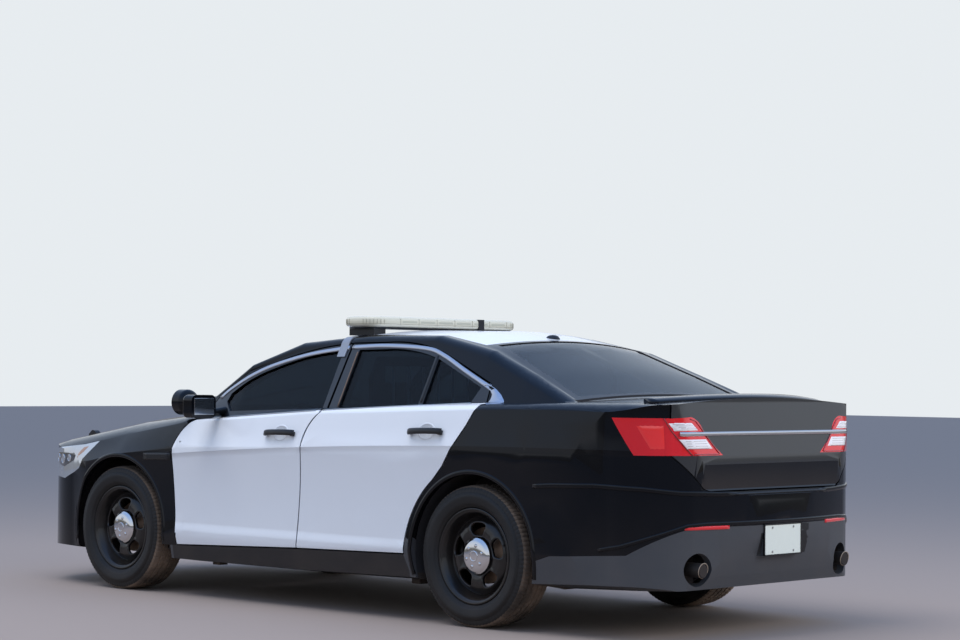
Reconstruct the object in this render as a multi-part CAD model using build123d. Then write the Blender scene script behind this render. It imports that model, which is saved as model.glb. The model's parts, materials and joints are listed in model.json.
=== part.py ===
from build123d import *
import math
import os

# Police patrol car: a four-door saloon on steel wheels, with a roof light bar, a push bar and a spotlight.
# Millimetres. +X is the car's left, +Y its rear, +Z up. The origin is on the ground at the middle of its box.

# Overall sizes
body_length = 5154
push_bar_reach = 110
body_half_width = 967.5
wheelbase = 2868
front_overhang = 1030
half_track = 830
nose_y = -(body_length + push_bar_reach) / 2 + push_bar_reach
tail_y = nose_y + body_length
front_axle_y = nose_y + front_overhang
rear_axle_y = front_axle_y + wheelbase

# Wheels and tyres
tyre_radius = 363.5
tyre_width = 245
rim_radius = 228.6
rim_width = 200
spindle_radius = 30
running_clearance = 0.05
axle_z = tyre_radius
arch_radius = 418
front_well_radius = 446
front_well_inner_x = 488
rear_well_radius = 424
rear_well_inner_x = 672
well_wall = 8

# Steering axis: from the lower ball joint up to the strut top
ball_joint_x = 770
ball_joint_z = 200
strut_top_x = 582
strut_top_z = 850

# Wall thicknesses and gaps
door_thickness = 75
frame_thickness = 34
seat_gap = 11
pillar_thickness = 62
upper_pillar_thickness = 33
roof_thickness = 24
headliner_thickness = 45
hood_thickness = 26
lid_thickness = 30
fascia_thickness = 34
lamp_thickness = 26
glass_thickness = 6
glass_inset = 5
panel_gap = 6.5
door_gap = 8.5
flange_thickness = 4
flange_width = 20
seal_land = 42

# Heights and lengths inside
floor_top_z = 250
trunk_floor_z = 470
firewall_y = -1005
cabin_front_y = -960
cabin_rear_y = 1060
trunk_front_y = 1110
hood_rear_y = -1030
lid_front_y = 1902

# Hinges: where each axis stands, and the pins and lugs on it
door_hinge_x = 943
front_door_hinge_y = -925
rear_door_hinge_y = 146
hinge_heights = (420, 850)
hinge_pin_radius = 4.5
hinge_knuckle_radius = 8
hood_hinge = (-1042, 1048)
lid_hinge = (1914, 1156)
lid_hinge_x = 300

# Places where a stranger's part or tool goes
jack_pad_y = (-820, 800)
plate_spacing = (177.8, 120.65)
plate_hole_radius = 3.3
plate_z = 480

# Body sections: station y, floor half width, then (half width, height) of the sill edge, the lower door crease,
# the middle of the side, the character line, the belt and the inner shoulder, then the height on the centre line.
BODY_SECTIONS = [
    # y, floor, sill, lower crease, middle, character line, belt, shoulder, centre
    (nose_y - 20, 700, (905, 245), (925, 300), (930, 480), (930, 640), (880, 735), (720, 790), 822),
    (nose_y + 322, 720, (915, 235), (937, 300), (941, 480), (945, 670), (880, 800), (720, 868), 918),
    (front_axle_y, 740, (934, 215), (957, 330), (954, 560), (962, 800), (880, 912), (720, 985), 1036),
    (front_axle_y + 552, 750, (938, 212), (962, 340), (953, 610), (966, 850), (916, 992), (800, 1035), 1076),
    (front_axle_y + 1592, 750, (940, 216), (965, 350), (955, 620), (body_half_width, 885), (926, 1060), (858, 1092), 1108),
    (rear_axle_y - 300, 750, (940, 232), (965, 382), (957, 640), (967, 906), (926, 1096), (850, 1128), 1142),
    (rear_axle_y + 370, 740, (935, 250), (958, 400), (950, 640), (962, 905), (912, 1116), (815, 1150), 1174),
    (tail_y - 350, 720, (915, 275), (935, 405), (935, 640), (938, 895), (893, 1110), (785, 1155), 1188),
    (tail_y + 20, 700, (890, 300), (900, 405), (905, 620), (895, 890), (855, 1098), (755, 1148), 1182),
]
# Cabin sections: station y, then (half width, height) of the foot, the side window line, the roof rail, and the
# height on the centre line.
CABIN_SECTIONS = [
    # y, foot, window line, roof rail, centre
    (front_axle_y + 412, (905, 900), (850, 960), (775, 985), 1022),
    (front_axle_y + 592, (908, 990), (846, 1046), (775, 1078), 1152),
    (front_axle_y + 952, (908, 1003), (757, 1294), (716, 1332), 1366),
    (front_axle_y + 1292, (908, 1003), (696, 1412), (636, 1458), 1496),
    (front_axle_y + 1792, (908, 1003), (674, 1454), (604, 1500), 1538),
    (rear_axle_y - 526, (908, 1003), (674, 1450), (604, 1494), 1530),
    (rear_axle_y - 126, (908, 1003), (712, 1374), (628, 1416), 1462),
    (rear_axle_y + 224, (900, 1010), (770, 1246), (668, 1282), 1322),
    (rear_axle_y + 584, (885, 1040), (822, 1112), (735, 1132), 1160),
]


def outline(start, *steps):
    """A closed face from straight steps (a point) and arc steps (a pair: a point on the arc, its end)."""
    edges = []
    at = start
    for step in steps:
        if isinstance(step[0], tuple):
            edges.append(ThreePointArc(at, step[0], step[1]))
            at = step[1]
        else:
            edges.append(Line(at, step))
            at = step
    if at != start:
        edges.append(Line(at, start))
    return Face(Wire(edges))


def side_prism(face, low_x, high_x):
    """A face drawn as (y, z), run along X."""
    return extrude(Plane.YZ.offset(low_x) * face, amount=high_x - low_x, dir=(1, 0, 0))


def plan_prism(face, low_z, high_z):
    """A face drawn as (x, y), run along Z."""
    return extrude(Plane.XY.offset(low_z) * face, amount=high_z - low_z, dir=(0, 0, 1))


def rear_prism(face, low_y, high_y):
    """A face drawn as (x, z), run along Y."""
    seat = Plane(origin=(0, high_y, 0), x_dir=(1, 0, 0), z_dir=(0, -1, 0))
    return extrude(seat * face, amount=high_y - low_y, dir=(0, -1, 0))


def block(low, high):
    """A box between two corners."""
    size = [h - l for l, h in zip(low, high)]
    middle = [(h + l) / 2 for l, h in zip(low, high)]
    return Pos(*middle) * Box(*size)


def bar(start, end, radius):
    """A round bar between two points."""
    a, b = Vector(*start), Vector(*end)
    seat = Plane(origin=a, z_dir=(b - a).normalized())
    return extrude(seat * Circle(radius), amount=(b - a).length)


def disc(x_low, x_high, y, z, radius):
    """A round bar along X."""
    return bar((x_low, y, z), (x_high, y, z), radius)


def solids(shape):
    """The solids of a result, whatever kind it is."""
    if isinstance(shape, (list, tuple)):
        return [s for item in shape for s in solids(item)]
    return list(shape.solids())


def both(shape):
    """A shape and its mirror image on the car's other side, kept as separate solids."""
    return solids(shape) + [s for item in solids(shape) for s in solids(mirror(item, about=Plane.YZ))]


def flipped(shape):
    """The same shape on the car's other side."""
    return [s for item in solids(shape) for s in solids(mirror(item, about=Plane.YZ))]


def largest(shape):
    """The largest solid of a result."""
    return max(solids(shape), key=lambda s: s.volume)


def skin(outer, core, *regions):
    """The piece of wall between an outer and an inner surface that lies inside every region."""
    piece = outer
    for region in regions:
        piece = piece & region
    return piece - core


def section_face(y, points):
    """A closed section at y from half a chain: a pair is a point, a triple marks an arc's middle."""
    seat = Plane(origin=(0, y, 0), x_dir=(1, 0, 0), z_dir=(0, -1, 0))
    edges = []
    chain = points + [(-x, z, *kind) for x, z, *kind in reversed(points)][1:]
    at = chain[0]
    middle = None
    for x, z, *kind in chain[1:]:
        if kind:
            middle = (x, z)
        elif middle:
            edges.append(ThreePointArc(at[:2], middle, (x, z)))
            at, middle = (x, z), None
        else:
            edges.append(Line(at[:2], (x, z)))
            at = (x, z)
    edges.append(Line(at, chain[0][:2]))
    return seat * Face(Wire(edges))


def body_loft(side, top, bottom=0):
    """The lower body between nose and tail, taken in by a side, top and bottom wall."""
    faces = []
    for y, floor, sill, low, mid, char, belt, shoulder, centre in BODY_SECTIONS:
        belt_x, belt_z = belt[0] - side, belt[1] - top * 0.6
        shoulder_x, shoulder_z = shoulder[0] - side, shoulder[1] - top
        crown = ((belt_x + shoulder_x) / 2 + 12, (belt_z + shoulder_z) / 2 + 9)
        faces.append(section_face(y, [
            (floor - side, floor_top_z - 60 + (sill[1] - 215) * 0.8 + bottom),
            (sill[0] - side, sill[1] + bottom),
            (low[0] - side, max(low[1], sill[1] + bottom + 40)),
            (mid[0] - side, mid[1], "arc"),
            (char[0] - side, char[1]),
            (belt_x, belt_z),
            (*crown, "arc"),
            (shoulder_x, shoulder_z),
            (0, centre - top, "arc"),
        ]))
    return loft(faces, ruled=True)


def cabin_loft(side, top, foot_drop=0):
    """The cabin above the belt, taken in by a side and a top wall."""
    faces = []
    for y, foot, window, rail, centre in CABIN_SECTIONS:
        rail_x, rail_z = rail[0] - side * 0.75, rail[1] - top
        window_x, window_z = window[0] - side, window[1] - top * 0.4
        bulge = ((window_x + rail_x) / 2 + 13, (window_z + rail_z) / 2 + 9)
        faces.append(section_face(y, [
            (foot[0] - side, foot[1] - foot_drop),
            (window_x, window_z),
            (*bulge, "arc"),
            (rail_x, rail_z),
            (0, centre - top, "arc"),
        ]))
    return loft(faces, ruled=True)


def corner_cuts(inset):
    """What the rounded nose and tail leave out of the plan, taken in by inset: a solid for each corner."""
    n, t = nose_y + inset, tail_y - inset
    cuts = []
    for side in (1, -1):
        cuts.append(outline(
            (0, n), ((side * 310, n + 22), (side * (620 - inset * 0.5), n + 95)),
            ((side * (800 - inset * 0.8), n + 245), (side * (905 - inset), n + 540)),
            (side * 1060, n + 1100), (side * 1200, n + 1100), (side * 1200, n - 200), (0, n - 200),
        ))
        cuts.append(outline(
            (0, t), ((side * 310, t - 18), (side * (640 - inset * 0.5), t - 78)),
            ((side * (805 - inset * 0.8), t - 190), (side * (893 - inset), t - 420)),
            (side * 1060, t - 950), (side * 1200, t - 950), (side * 1200, t + 200), (0, t + 200),
        ))
    return [plan_prism(cut, 50, 1750) for cut in cuts]


def trimmed_body(side, top, end):
    """The lower body with its nose and tail rounded, in plan and in profile."""
    n, t = nose_y + end, tail_y - end
    profile = outline(
        (n + 120, 100), (n + 60, 240), ((n, 450), (n + 25, 700)), ((n + 85, 822), (n + 250, 912)), (n + 250, 1700),
        (t - 110, 1700), (t - 110, 1160), (t - 60, 860), (t - 66, 740), (t - 12, 706), ((t, 600), (t - 16, 470)),
        (t - 60, 315), (t - 140, 100),
    )
    return largest(largest(body_loft(side, top, side * 0.9) - corner_cuts(end)) & side_prism(profile, -1100, 1100))


def envelope(side, frame, top, end):
    """The whole outer body, taken in by a lower side wall, an upper frame, a top wall and an end wall."""
    return trimmed_body(side, top, end) + cabin_loft(frame, top)


# Outlines seen from the side, as (y, z)
FRONT_DOOR = outline(
    (-941, 297), (74, 335), (96, 700), (101, 884), ((121, 975), (200, 1070)), (207, 1448),
    ((-80, 1412), (-354, 1341)), ((-522, 1274), (-668, 1194)), (-745, 1135), (-790, 1044), (-850, 1010),
    ((-952, 925), (-985, 780)), (-975, 660),
)
REAR_DOOR = outline(
    (83, 335), (900, 354), ((968, 592), (1100, 742)), (1170, 815), (1318, 1030), (1366, 1118), (1348, 1236),
    ((1140, 1318), (940, 1394)), ((730, 1443), (479, 1454)), (221, 1450), (217, 1074), ((133, 973), (110, 884)), (105, 700),
)
FRONT_WINDOW = outline(
    (-590, 1066), (168, 1096), (158, 1412), ((-96, 1380), (-354, 1312)), ((-508, 1250), (-640, 1166)), (-650, 1120),
)
REAR_WINDOW = outline((291, 1100), (884, 1127), (880, 1378), ((690, 1415), (479, 1422)), (283, 1418))
QUARTER_WINDOW = outline((914, 1129), (1256, 1143), (1290, 1222), ((1090, 1300), (908, 1371)))
SILL = outline((-985, 150), (935, 150), (935, 262), (902, 346), (78, 327), (-944, 289), (-985, 289))
FENDER = outline(
    (-985, 289), (-948, 289), (-982, 660), (-992, 780), ((-959, 929), (-855, 1016)), (-800, 1048), (-800, 1400),
    (-2560, 1400), (-2560, 690), (-1880, 640), (-1880, 289),
)
LAMP_FRONT = outline((-2600, 660), (-2090, 632), (-1907, 700), (-1764, 866), (-1906, 842), (-2600, 778))
FRONT_BUMPER = outline((-2600, 100), (-1800, 100), (-1800, 640), (-1880, 640), (-2200, 760), (-2200, 880), (-2600, 880))
REAR_BUMPER = outline(
    (1700, 330), (1700, 735), (2290, 766), ((2350, 790), (2372, 850)), (2372, 905), (2700, 905), (2700, 556), (2560, 556),
    (2330, 420), (1905, 396),
)
VALANCE = outline((1860, 100), (1905, 396), (2330, 420), (2560, 556), (2700, 556), (2700, 100))
LAMP_SIDE = outline((2250, 1086), (2362, 905), (2700, 905), (2700, 1086))
# Outlines seen from behind, as (x, z)
LID = outline(
    (-735, 1300), (735, 1300), (742, 1095), (738, 905), (600, 778), ((558, 742), (500, 733)), (-500, 733),
    ((-558, 742), (-600, 778)), (-738, 905), (-742, 1095),
)
LAMP_LID = outline((736, 1086), (628, 1092), ((560, 1050), (540, 1000)), (412, 905), (732, 905))
GRILLE = outline((-430, 612), (430, 612), (446, 786), (-446, 786))
# Outlines seen from above, as (x, y)
HOOD = outline(
    (-700, hood_rear_y), (700, hood_rear_y), (690, -1492), ((668, -2000), (600, -2330)), ((0, -2442), (-600, -2330)),
    ((-668, -2000), (-690, -1492)),
)
ROOF = outline((-578, -185), ((0, -222), (578, -185)), (583, 1130), ((0, 1155), (-583, 1130)))
WINDSCREEN = outline((-702, -900), ((0, -972), (702, -900)), (596, -262), ((0, -236), (-596, -262)))
BACKLIGHT = outline((-532, 1166), ((0, 1185), (532, 1166)), (600, 1500), (668, 1846), ((0, 1862), (-668, 1846)), (-600, 1500))


def steering_point(z):
    """Where the left steering axis stands at a height."""
    share = (z - ball_joint_z) / (strut_top_z - ball_joint_z)
    return (ball_joint_x + (strut_top_x - ball_joint_x) * share, front_axle_y, z)


def ring_profile(points):
    """A closed profile of (x, radius) pairs, arcs marked as in outline, turned about the X axis."""
    return revolve(Plane.XY * outline(points[0], *points[1:]), axis=Axis.X)


def wheel_pieces(side, axle_y):
    """One wheel and its tyre; side is 1 on the left and -1 on the right."""
    half = rim_width / 2
    barrel = ring_profile([
        (-half, 246), (-half + 9, 246), (-half + 12, 230), (-half + 36, rim_radius), (-half + 50, 206), (38, 206),
        (half - 36, rim_radius), (half - 12, 230), (half - 9, 246), (half, 246), (half, 236), (half - 10, 222),
        (half - 38, 218), (36, 198), (-half + 52, 198), (-half + 38, 220), (-half + 12, 222), (-half, 236),
    ])
    web = ring_profile([(30, 202), (44, 202), (62, 178), (72, 132), (66, 84), (60, 62), (46, 62), (52, 84), (58, 132), (48, 172), (28, 196)])
    hub = ring_profile([(-62, spindle_radius + running_clearance), (56, spindle_radius + running_clearance), (56, 70), (0, 70), (0, 145),
                        (-22, 145), (-22, 70), (-62, 70)])
    cap = ring_profile([(56, 0), (56, 88), (72, 88), (88, 66), (95, 30), (95, 0)])
    wheel = barrel + web + hub + cap
    holes = [Rot(72 * k, 0, 0) * Pos(60, 0, 136) * Rot(0, 90, 0) * Cylinder(31, 60) for k in range(5)]
    wheel = wheel - holes
    tyre = ring_profile([
        (half - 12, 230), (half - 9, 247), (112, 262), (122.5, 300), (118, 336), (100, 358), (60, tyre_radius), (-60, tyre_radius),
        (-100, 358), (-118, 336), (-122.5, 300), (-112, 262), (-half + 9, 247), (-half + 12, 230), (-half + 36, rim_radius),
        (-half + 40, 246), (-104, 300), (-94, 340), (94, 340), (104, 300), (half - 40, 246), (half - 36, rim_radius),
    ])
    seat = Pos(side * half_track, axle_y, axle_z) * Rot(0, 0, 0 if side > 0 else 180)
    return [seat * wheel], [seat * tyre]


def running_gear(nodes):
    """Wheels, tyres, knuckles, subframes, axles, exhaust, tank and engine."""
    for place, axle_y in (("front", front_axle_y), ("rear", rear_axle_y)):
        for side, hand in ((1, "left"), (-1, "right")):
            wheel, tyre = wheel_pieces(side, axle_y)
            nodes["wheel_" + place + "_" + hand] = wheel
            nodes["tyre_" + place + "_" + hand] = tyre

    # Steering knuckle: strut, upright, spindle and tie rod arm turn as one about the steering axis
    y = front_axle_y
    axle = steering_point(axle_z)
    knuckle = bar(steering_point(330), steering_point(800), 26) + bar(steering_point(222), steering_point(470), 18)
    knuckle += bar(steering_point(660), steering_point(806), 56)
    knuckle += bar(axle, (half_track + 54, y, axle_z), spindle_radius)
    knuckle += bar(axle, (half_track - 68, y, axle_z), 52)
    knuckle += bar(steering_point(178), steering_point(240), 13) + bar(steering_point(790), steering_point(868), 14)
    knuckle += bar(steering_point(250), (690, y + 120, 262), 13)
    nodes["knuckle_left"] = [largest(knuckle)]
    nodes["knuckle_right"] = flipped(nodes["knuckle_left"])

    # Front subframe with the lower arms; the ball joint eyes stand on the steering axis
    eye = bar(steering_point(176), steering_point(216), 28) - bar(steering_point(150), steering_point(240), 13 + running_clearance)
    arm = bar((steering_point(196)[0] - 22, y, 192), (390, y - 110, 226), 15) + bar((steering_point(196)[0] - 22, y, 192), (390, y + 150, 226), 15)
    beam = block((-400, y - 140, 200), (400, y - 80, 262)) + block((-400, y + 120, 200), (400, y + 180, 262))
    beam += block((350, y - 140, 200), (410, y + 180, 262)) + block((-410, y - 140, 200), (-350, y + 180, 262))
    arms = largest(beam + arm + eye + flipped(arm + eye))
    nodes["front_subframe"] = [arms]

    # Rear axle: differential, half shafts, stub axles, trailing links and coil struts
    y = rear_axle_y
    rear = bar((-660, y, axle_z), (660, y, axle_z), 24) + both(bar((640, y, axle_z), (half_track + 54, y, axle_z), spindle_radius))
    rear += Pos(0, y, axle_z) * Rot(90, 0, 0) * Cylinder(75, 200)
    rear += block((-560, y - 130, 240), (560, y - 80, 300)) + block((-60, y - 100, 260), (60, y - 50, 350))
    rear += both(bar((690, y, axle_z), (766, y, axle_z), 52)) + both(bar((720, y, 345), (520, y - 105, 268), 16))
    rear += both(bar((560, y - 20, axle_z), (560, y - 20, 439.7), 44)) + both(block((530, y - 50, 330), (590, y + 20, 380)))
    nodes["rear_suspension"] = [largest(rear)]

    # Exhaust: pipe, two mufflers across the back and a tip each side
    exhaust = bar((0, -900, 300), (0, 1120, 300), 30) + bar((0, 1120, 300), (250, 1190, 204), 26) + bar((250, 1190, 204), (430, 1560, 204), 26)
    exhaust += bar((430, 1560, 204), (430, 2000, 260), 26)
    for side in (1, -1):
        exhaust += block((side * 470 - 130, 1960, 245), (side * 470 + 130, 2330, 385))
        exhaust += bar((side * 560, 2310, 340), (side * 600, 2400, 350), 26) + bar((side * 600, 2395, 350), (side * 600, 2592, 350), 36)
    exhaust += bar((-400, 2150, 300), (400, 2150, 300), 24) + block((-420, 2060, 380), (420, 2090, 439.7))
    nodes["exhaust"] = [largest(exhaust)]
    nodes["fuel_tank"] = [fillet(block((-560, 968, 235), (-130, 1225, 439.7)).edges().filter_by(Axis.X), 40)]

    # Engine block between the rails, with the radiator ahead of it
    engine = block((-250, -1720, 300), (250, -1130, 760)) + block((-270, -1900, 420), (270, -1700, 700)) + block((-397.7, -1600, 430), (397.7, -1540, 490))
    engine += block((-150, -1720, 262.3), (150, -1200, 320))
    radiator = block((-397.7, -2284.7, 302), (397.7, -2240, 780)) + both(block((60, -2250, 500), (120, -1880, 540)))
    nodes["engine_block"] = [largest(engine + radiator)]


def fittings(nodes):
    """Light bar, push bar, spotlight, mirrors, grille and everything in the cabin."""
    # Light bar: a rounded lens housing on two feet that clamp the roof
    housing = block((-605, 18, 1548), (605, 298, 1606))
    housing = fillet(housing.edges().filter_by(Axis.Z), 118)
    housing = fillet(housing.edges().group_by(Axis.Z)[-1], 16)
    nodes["light_bar"] = [housing]
    foot = block((470, 60, 1500), (560, 256, 1548)) - cabin_loft(0, 0)
    strap = (block((540, 128, 1380), (760, 188, 1540)) & cabin_loft(-6, -6)) - cabin_loft(0, 0)
    nodes["light_bar_feet"] = both(largest(foot + strap))

    # Push bar: two rubber faced uprights, two cross tubes and arms back through the bumper
    front = -(body_length + push_bar_reach) / 2
    upright = outline((front, 330), (front + 62, 330), (front + 62, 520), (front + 78, 640), (front + 78, 860), ((front + 62, 900), (front + 30, 905)), (front, 880))
    push = both(side_prism(upright, 262, 298)) + [bar((-280, front + 40, 420), (280, front + 40, 420), 19), bar((-280, front + 44, 760), (280, front + 44, 760), 19)]
    push += both(block((266, front + 50, 566), (294, -2335.3, 594)))
    joined = push[0]
    for piece in push[1:]:
        joined = joined + piece
    nodes["push_bar"] = [largest(joined)]

    # Spotlight on the left pillar: housing, neck and a shaft through the pillar to its handle
    lamp = Pos(905, -930, 1112) * Rot(90, 0, 0) * Cylinder(74, 96)
    lamp = fillet(lamp.edges().group_by(Axis.Y)[-1], 40)
    lamp += bar((900, -900, 1100), (740, -770, 1150), 13) - cabin_loft(0, 0)
    nodes["spotlight"] = [largest(lamp - body_loft(0, 0))]

    # Mirrors on the front doors
    shell = Pos(1048, -655, 1092) * Box(178, 92, 132)
    shell = fillet(shell.edges().filter_by(Axis.Y), 34)
    shell = fillet(shell.edges().group_by(Axis.Y)[0], 26)
    arm = bar((980, -655, 1052), (860, -640, 1068), 24)
    nodes["mirror_left"] = [largest((shell + arm) - nodes["door_front_left"] - nodes["window_front_left"])]
    nodes["mirror_right"] = flipped(nodes["mirror_left"])

    # Grille: a frame and level bars behind the bumper's opening
    grille = block((-460, -2446, 600), (460, -2434, 779.7))
    for k in range(6):
        grille += block((-460, -2474, 620 + 29 * k), (460, -2440, 630 + 29 * k))
    nodes["grille"] = [largest(grille & rear_prism(GRILLE, -2600, -2380))]


def cabin(nodes):
    """Dashboard, steering wheel, seats, bench, partition."""
    board = outline((-955, 560), (-955, 1000), ((-860, 1022), (-740, 985)), ((-690, 930), (-690, 840)), (-760, 700), (-800, 560))
    dash = side_prism(board, -770, 770) + block((-140, -800, 368.3), (140, 60, 560))
    wheel_centre = (370, -455, 935)
    column = (370, -690, 845)
    hole = bar((370, -760, 818), (370, -600, 880), 12 + running_clearance)
    boss = bar((370, -720, 833), (370, -650, 860), 40)
    nodes["dashboard"] = [largest((dash + boss) - bar((370, -850, 783.6), (370, -455, 935), 12 + running_clearance))]
    a, b = Vector(370, -850, 783.6), Vector(*wheel_centre)
    direction = (b - a).normalized()
    seat = Plane(origin=b, x_dir=(1, 0, 0), z_dir=direction)
    rim = seat * Torus(178, 15)
    spokes = seat * (Box(330, 44, 14) + Pos(0, -80, 0) * Box(50, 170, 14) + Cylinder(62, 34))
    shaft = bar(tuple(b - direction * 300), tuple(b - direction * 2), 12)
    nodes["steering_wheel"] = [largest(rim + spokes + shaft)]

    seats = []
    for side in (1, -1):
        x = side * 396
        cushion = fillet(block((x - 245, -440, 340), (x + 245, 110, 500)).edges().filter_by(Axis.X), 50)
        back = side_prism(outline((30, 430), (170, 430), (262, 1040), ((240, 1068), (180, 1050))), x - 245, x + 245)
        head = fillet(block((x - 130, 190, 1085), (x + 130, 262, 1240)).edges().filter_by(Axis.X), 30)
        posts = bar((x - 50, 226, 1030), (x - 50, 226, 1110), 7) + bar((x + 50, 226, 1030), (x + 50, 226, 1110), 7)
        base = block((x - 200, -330, floor_top_z + 0.3), (x + 200, 60, 360))
        seats.append(largest(cushion + back + head + posts + base))
    nodes["front_seats"] = seats
    bench = side_prism(outline((540, floor_top_z + 0.3), (925, floor_top_z + 0.3), (925, 480.3), (1059.7, 480.3), (1059.7, 1130),
                               ((1020, 1150), (980, 1100)), (900, 560), ((720, 548), (556, 520)), (540, 480)), -640, 640)
    over_tunnel = block((-145.3, 200, 0), (145.3, 1100, 368.3))
    bench = bench - over_tunnel
    nodes["rear_bench"] = [largest(bench)]
    screen = side_prism(outline((318, floor_top_z + 0.3), (348, floor_top_z + 0.3), (348, 1380), (318, 1380)), -655, 655) & cabin_screen()
    window = block((-560, 300, 900), (560, 360, 1330))
    bars = [bar((x, 333, 890), (x, 333, 1340), 8) for x in range(-480, 481, 120)]
    nodes["partition"] = [largest((screen - window - over_tunnel) + bars)]


def cabin_screen():
    """The space a cage wall can fill between the sills and the roof."""
    return block((-790, 200, 0), (790, 500, 1000)) + cabin_loft(100, 60, 80)


def whole(half):
    """A solid made on the left half, joined to its mirror image."""
    return largest(largest(half) + solids(mirror(largest(half), about=Plane.YZ)))


def hinge_door(door, hinge_y):
    """A door with its knuckles: each turns on a pin of the pillar, in a pocket open to the front and the inside."""
    pockets, knuckles, bores = [], [], []
    for z in hinge_heights:
        pockets.append(block((door_hinge_x - 130, hinge_y - 90, z - 40), (door_hinge_x, hinge_y + 16, z + 40)))
        pockets.append(Pos(door_hinge_x, hinge_y, z) * Cylinder(13, 80))
        knuckles.append(block((door_hinge_x - 7, hinge_y, z - 15), (door_hinge_x + 7, hinge_y + 34, z + 15))
                        + Pos(door_hinge_x, hinge_y, z) * Cylinder(hinge_knuckle_radius, 30))
        bores.append(Pos(door_hinge_x, hinge_y, z) * Cylinder(hinge_pin_radius + running_clearance, 60))
    return (largest(door - pockets) + [k - bores for k in knuckles])


def pillar_lugs(hinge_y):
    """The pillar's lugs above and below each knuckle, and the pins through them."""
    lugs = []
    for z in hinge_heights:
        for low in (z - 30, z + 16):
            plate = block((door_hinge_x - 130, hinge_y - 2, low), (door_hinge_x, hinge_y + 8, low + 14))
            lugs.append(plate + Pos(door_hinge_x, hinge_y, low + 7) * Cylinder(hinge_knuckle_radius, 14))
        lugs.append(Pos(door_hinge_x, hinge_y, z) * Cylinder(hinge_pin_radius, 60))
    return lugs


def lid_hinge_cuts(axis, side):
    """The bore and the slot for a hinge lug in a lid whose axis is at (y, z); side says which way its edge lies."""
    y, z = axis
    slot = block((lid_hinge_x - 9, min(y - side * 14, y + side * 40), z - 60), (lid_hinge_x + 9, max(y - side * 14, y + side * 40), z + 11))
    return [slot, disc(lid_hinge_x - 34, lid_hinge_x + 34, y, z, hinge_pin_radius + running_clearance)]


def lid_hinge_lug(axis, side, root_y, drop):
    """The body's lug and pin for such a lid."""
    y, z = axis
    arm = block((lid_hinge_x - 3, min(y - 7, root_y), z - drop), (lid_hinge_x + 3, max(y + 7, root_y), z - drop + 22))
    arm += block((lid_hinge_x - 3, y - 7, z - drop), (lid_hinge_x + 3, y + 7, z)) + disc(lid_hinge_x - 3, lid_hinge_x + 3, y, z, 7)
    return arm + disc(lid_hinge_x - 28, lid_hinge_x + 28, y, z, hinge_pin_radius)


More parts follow.
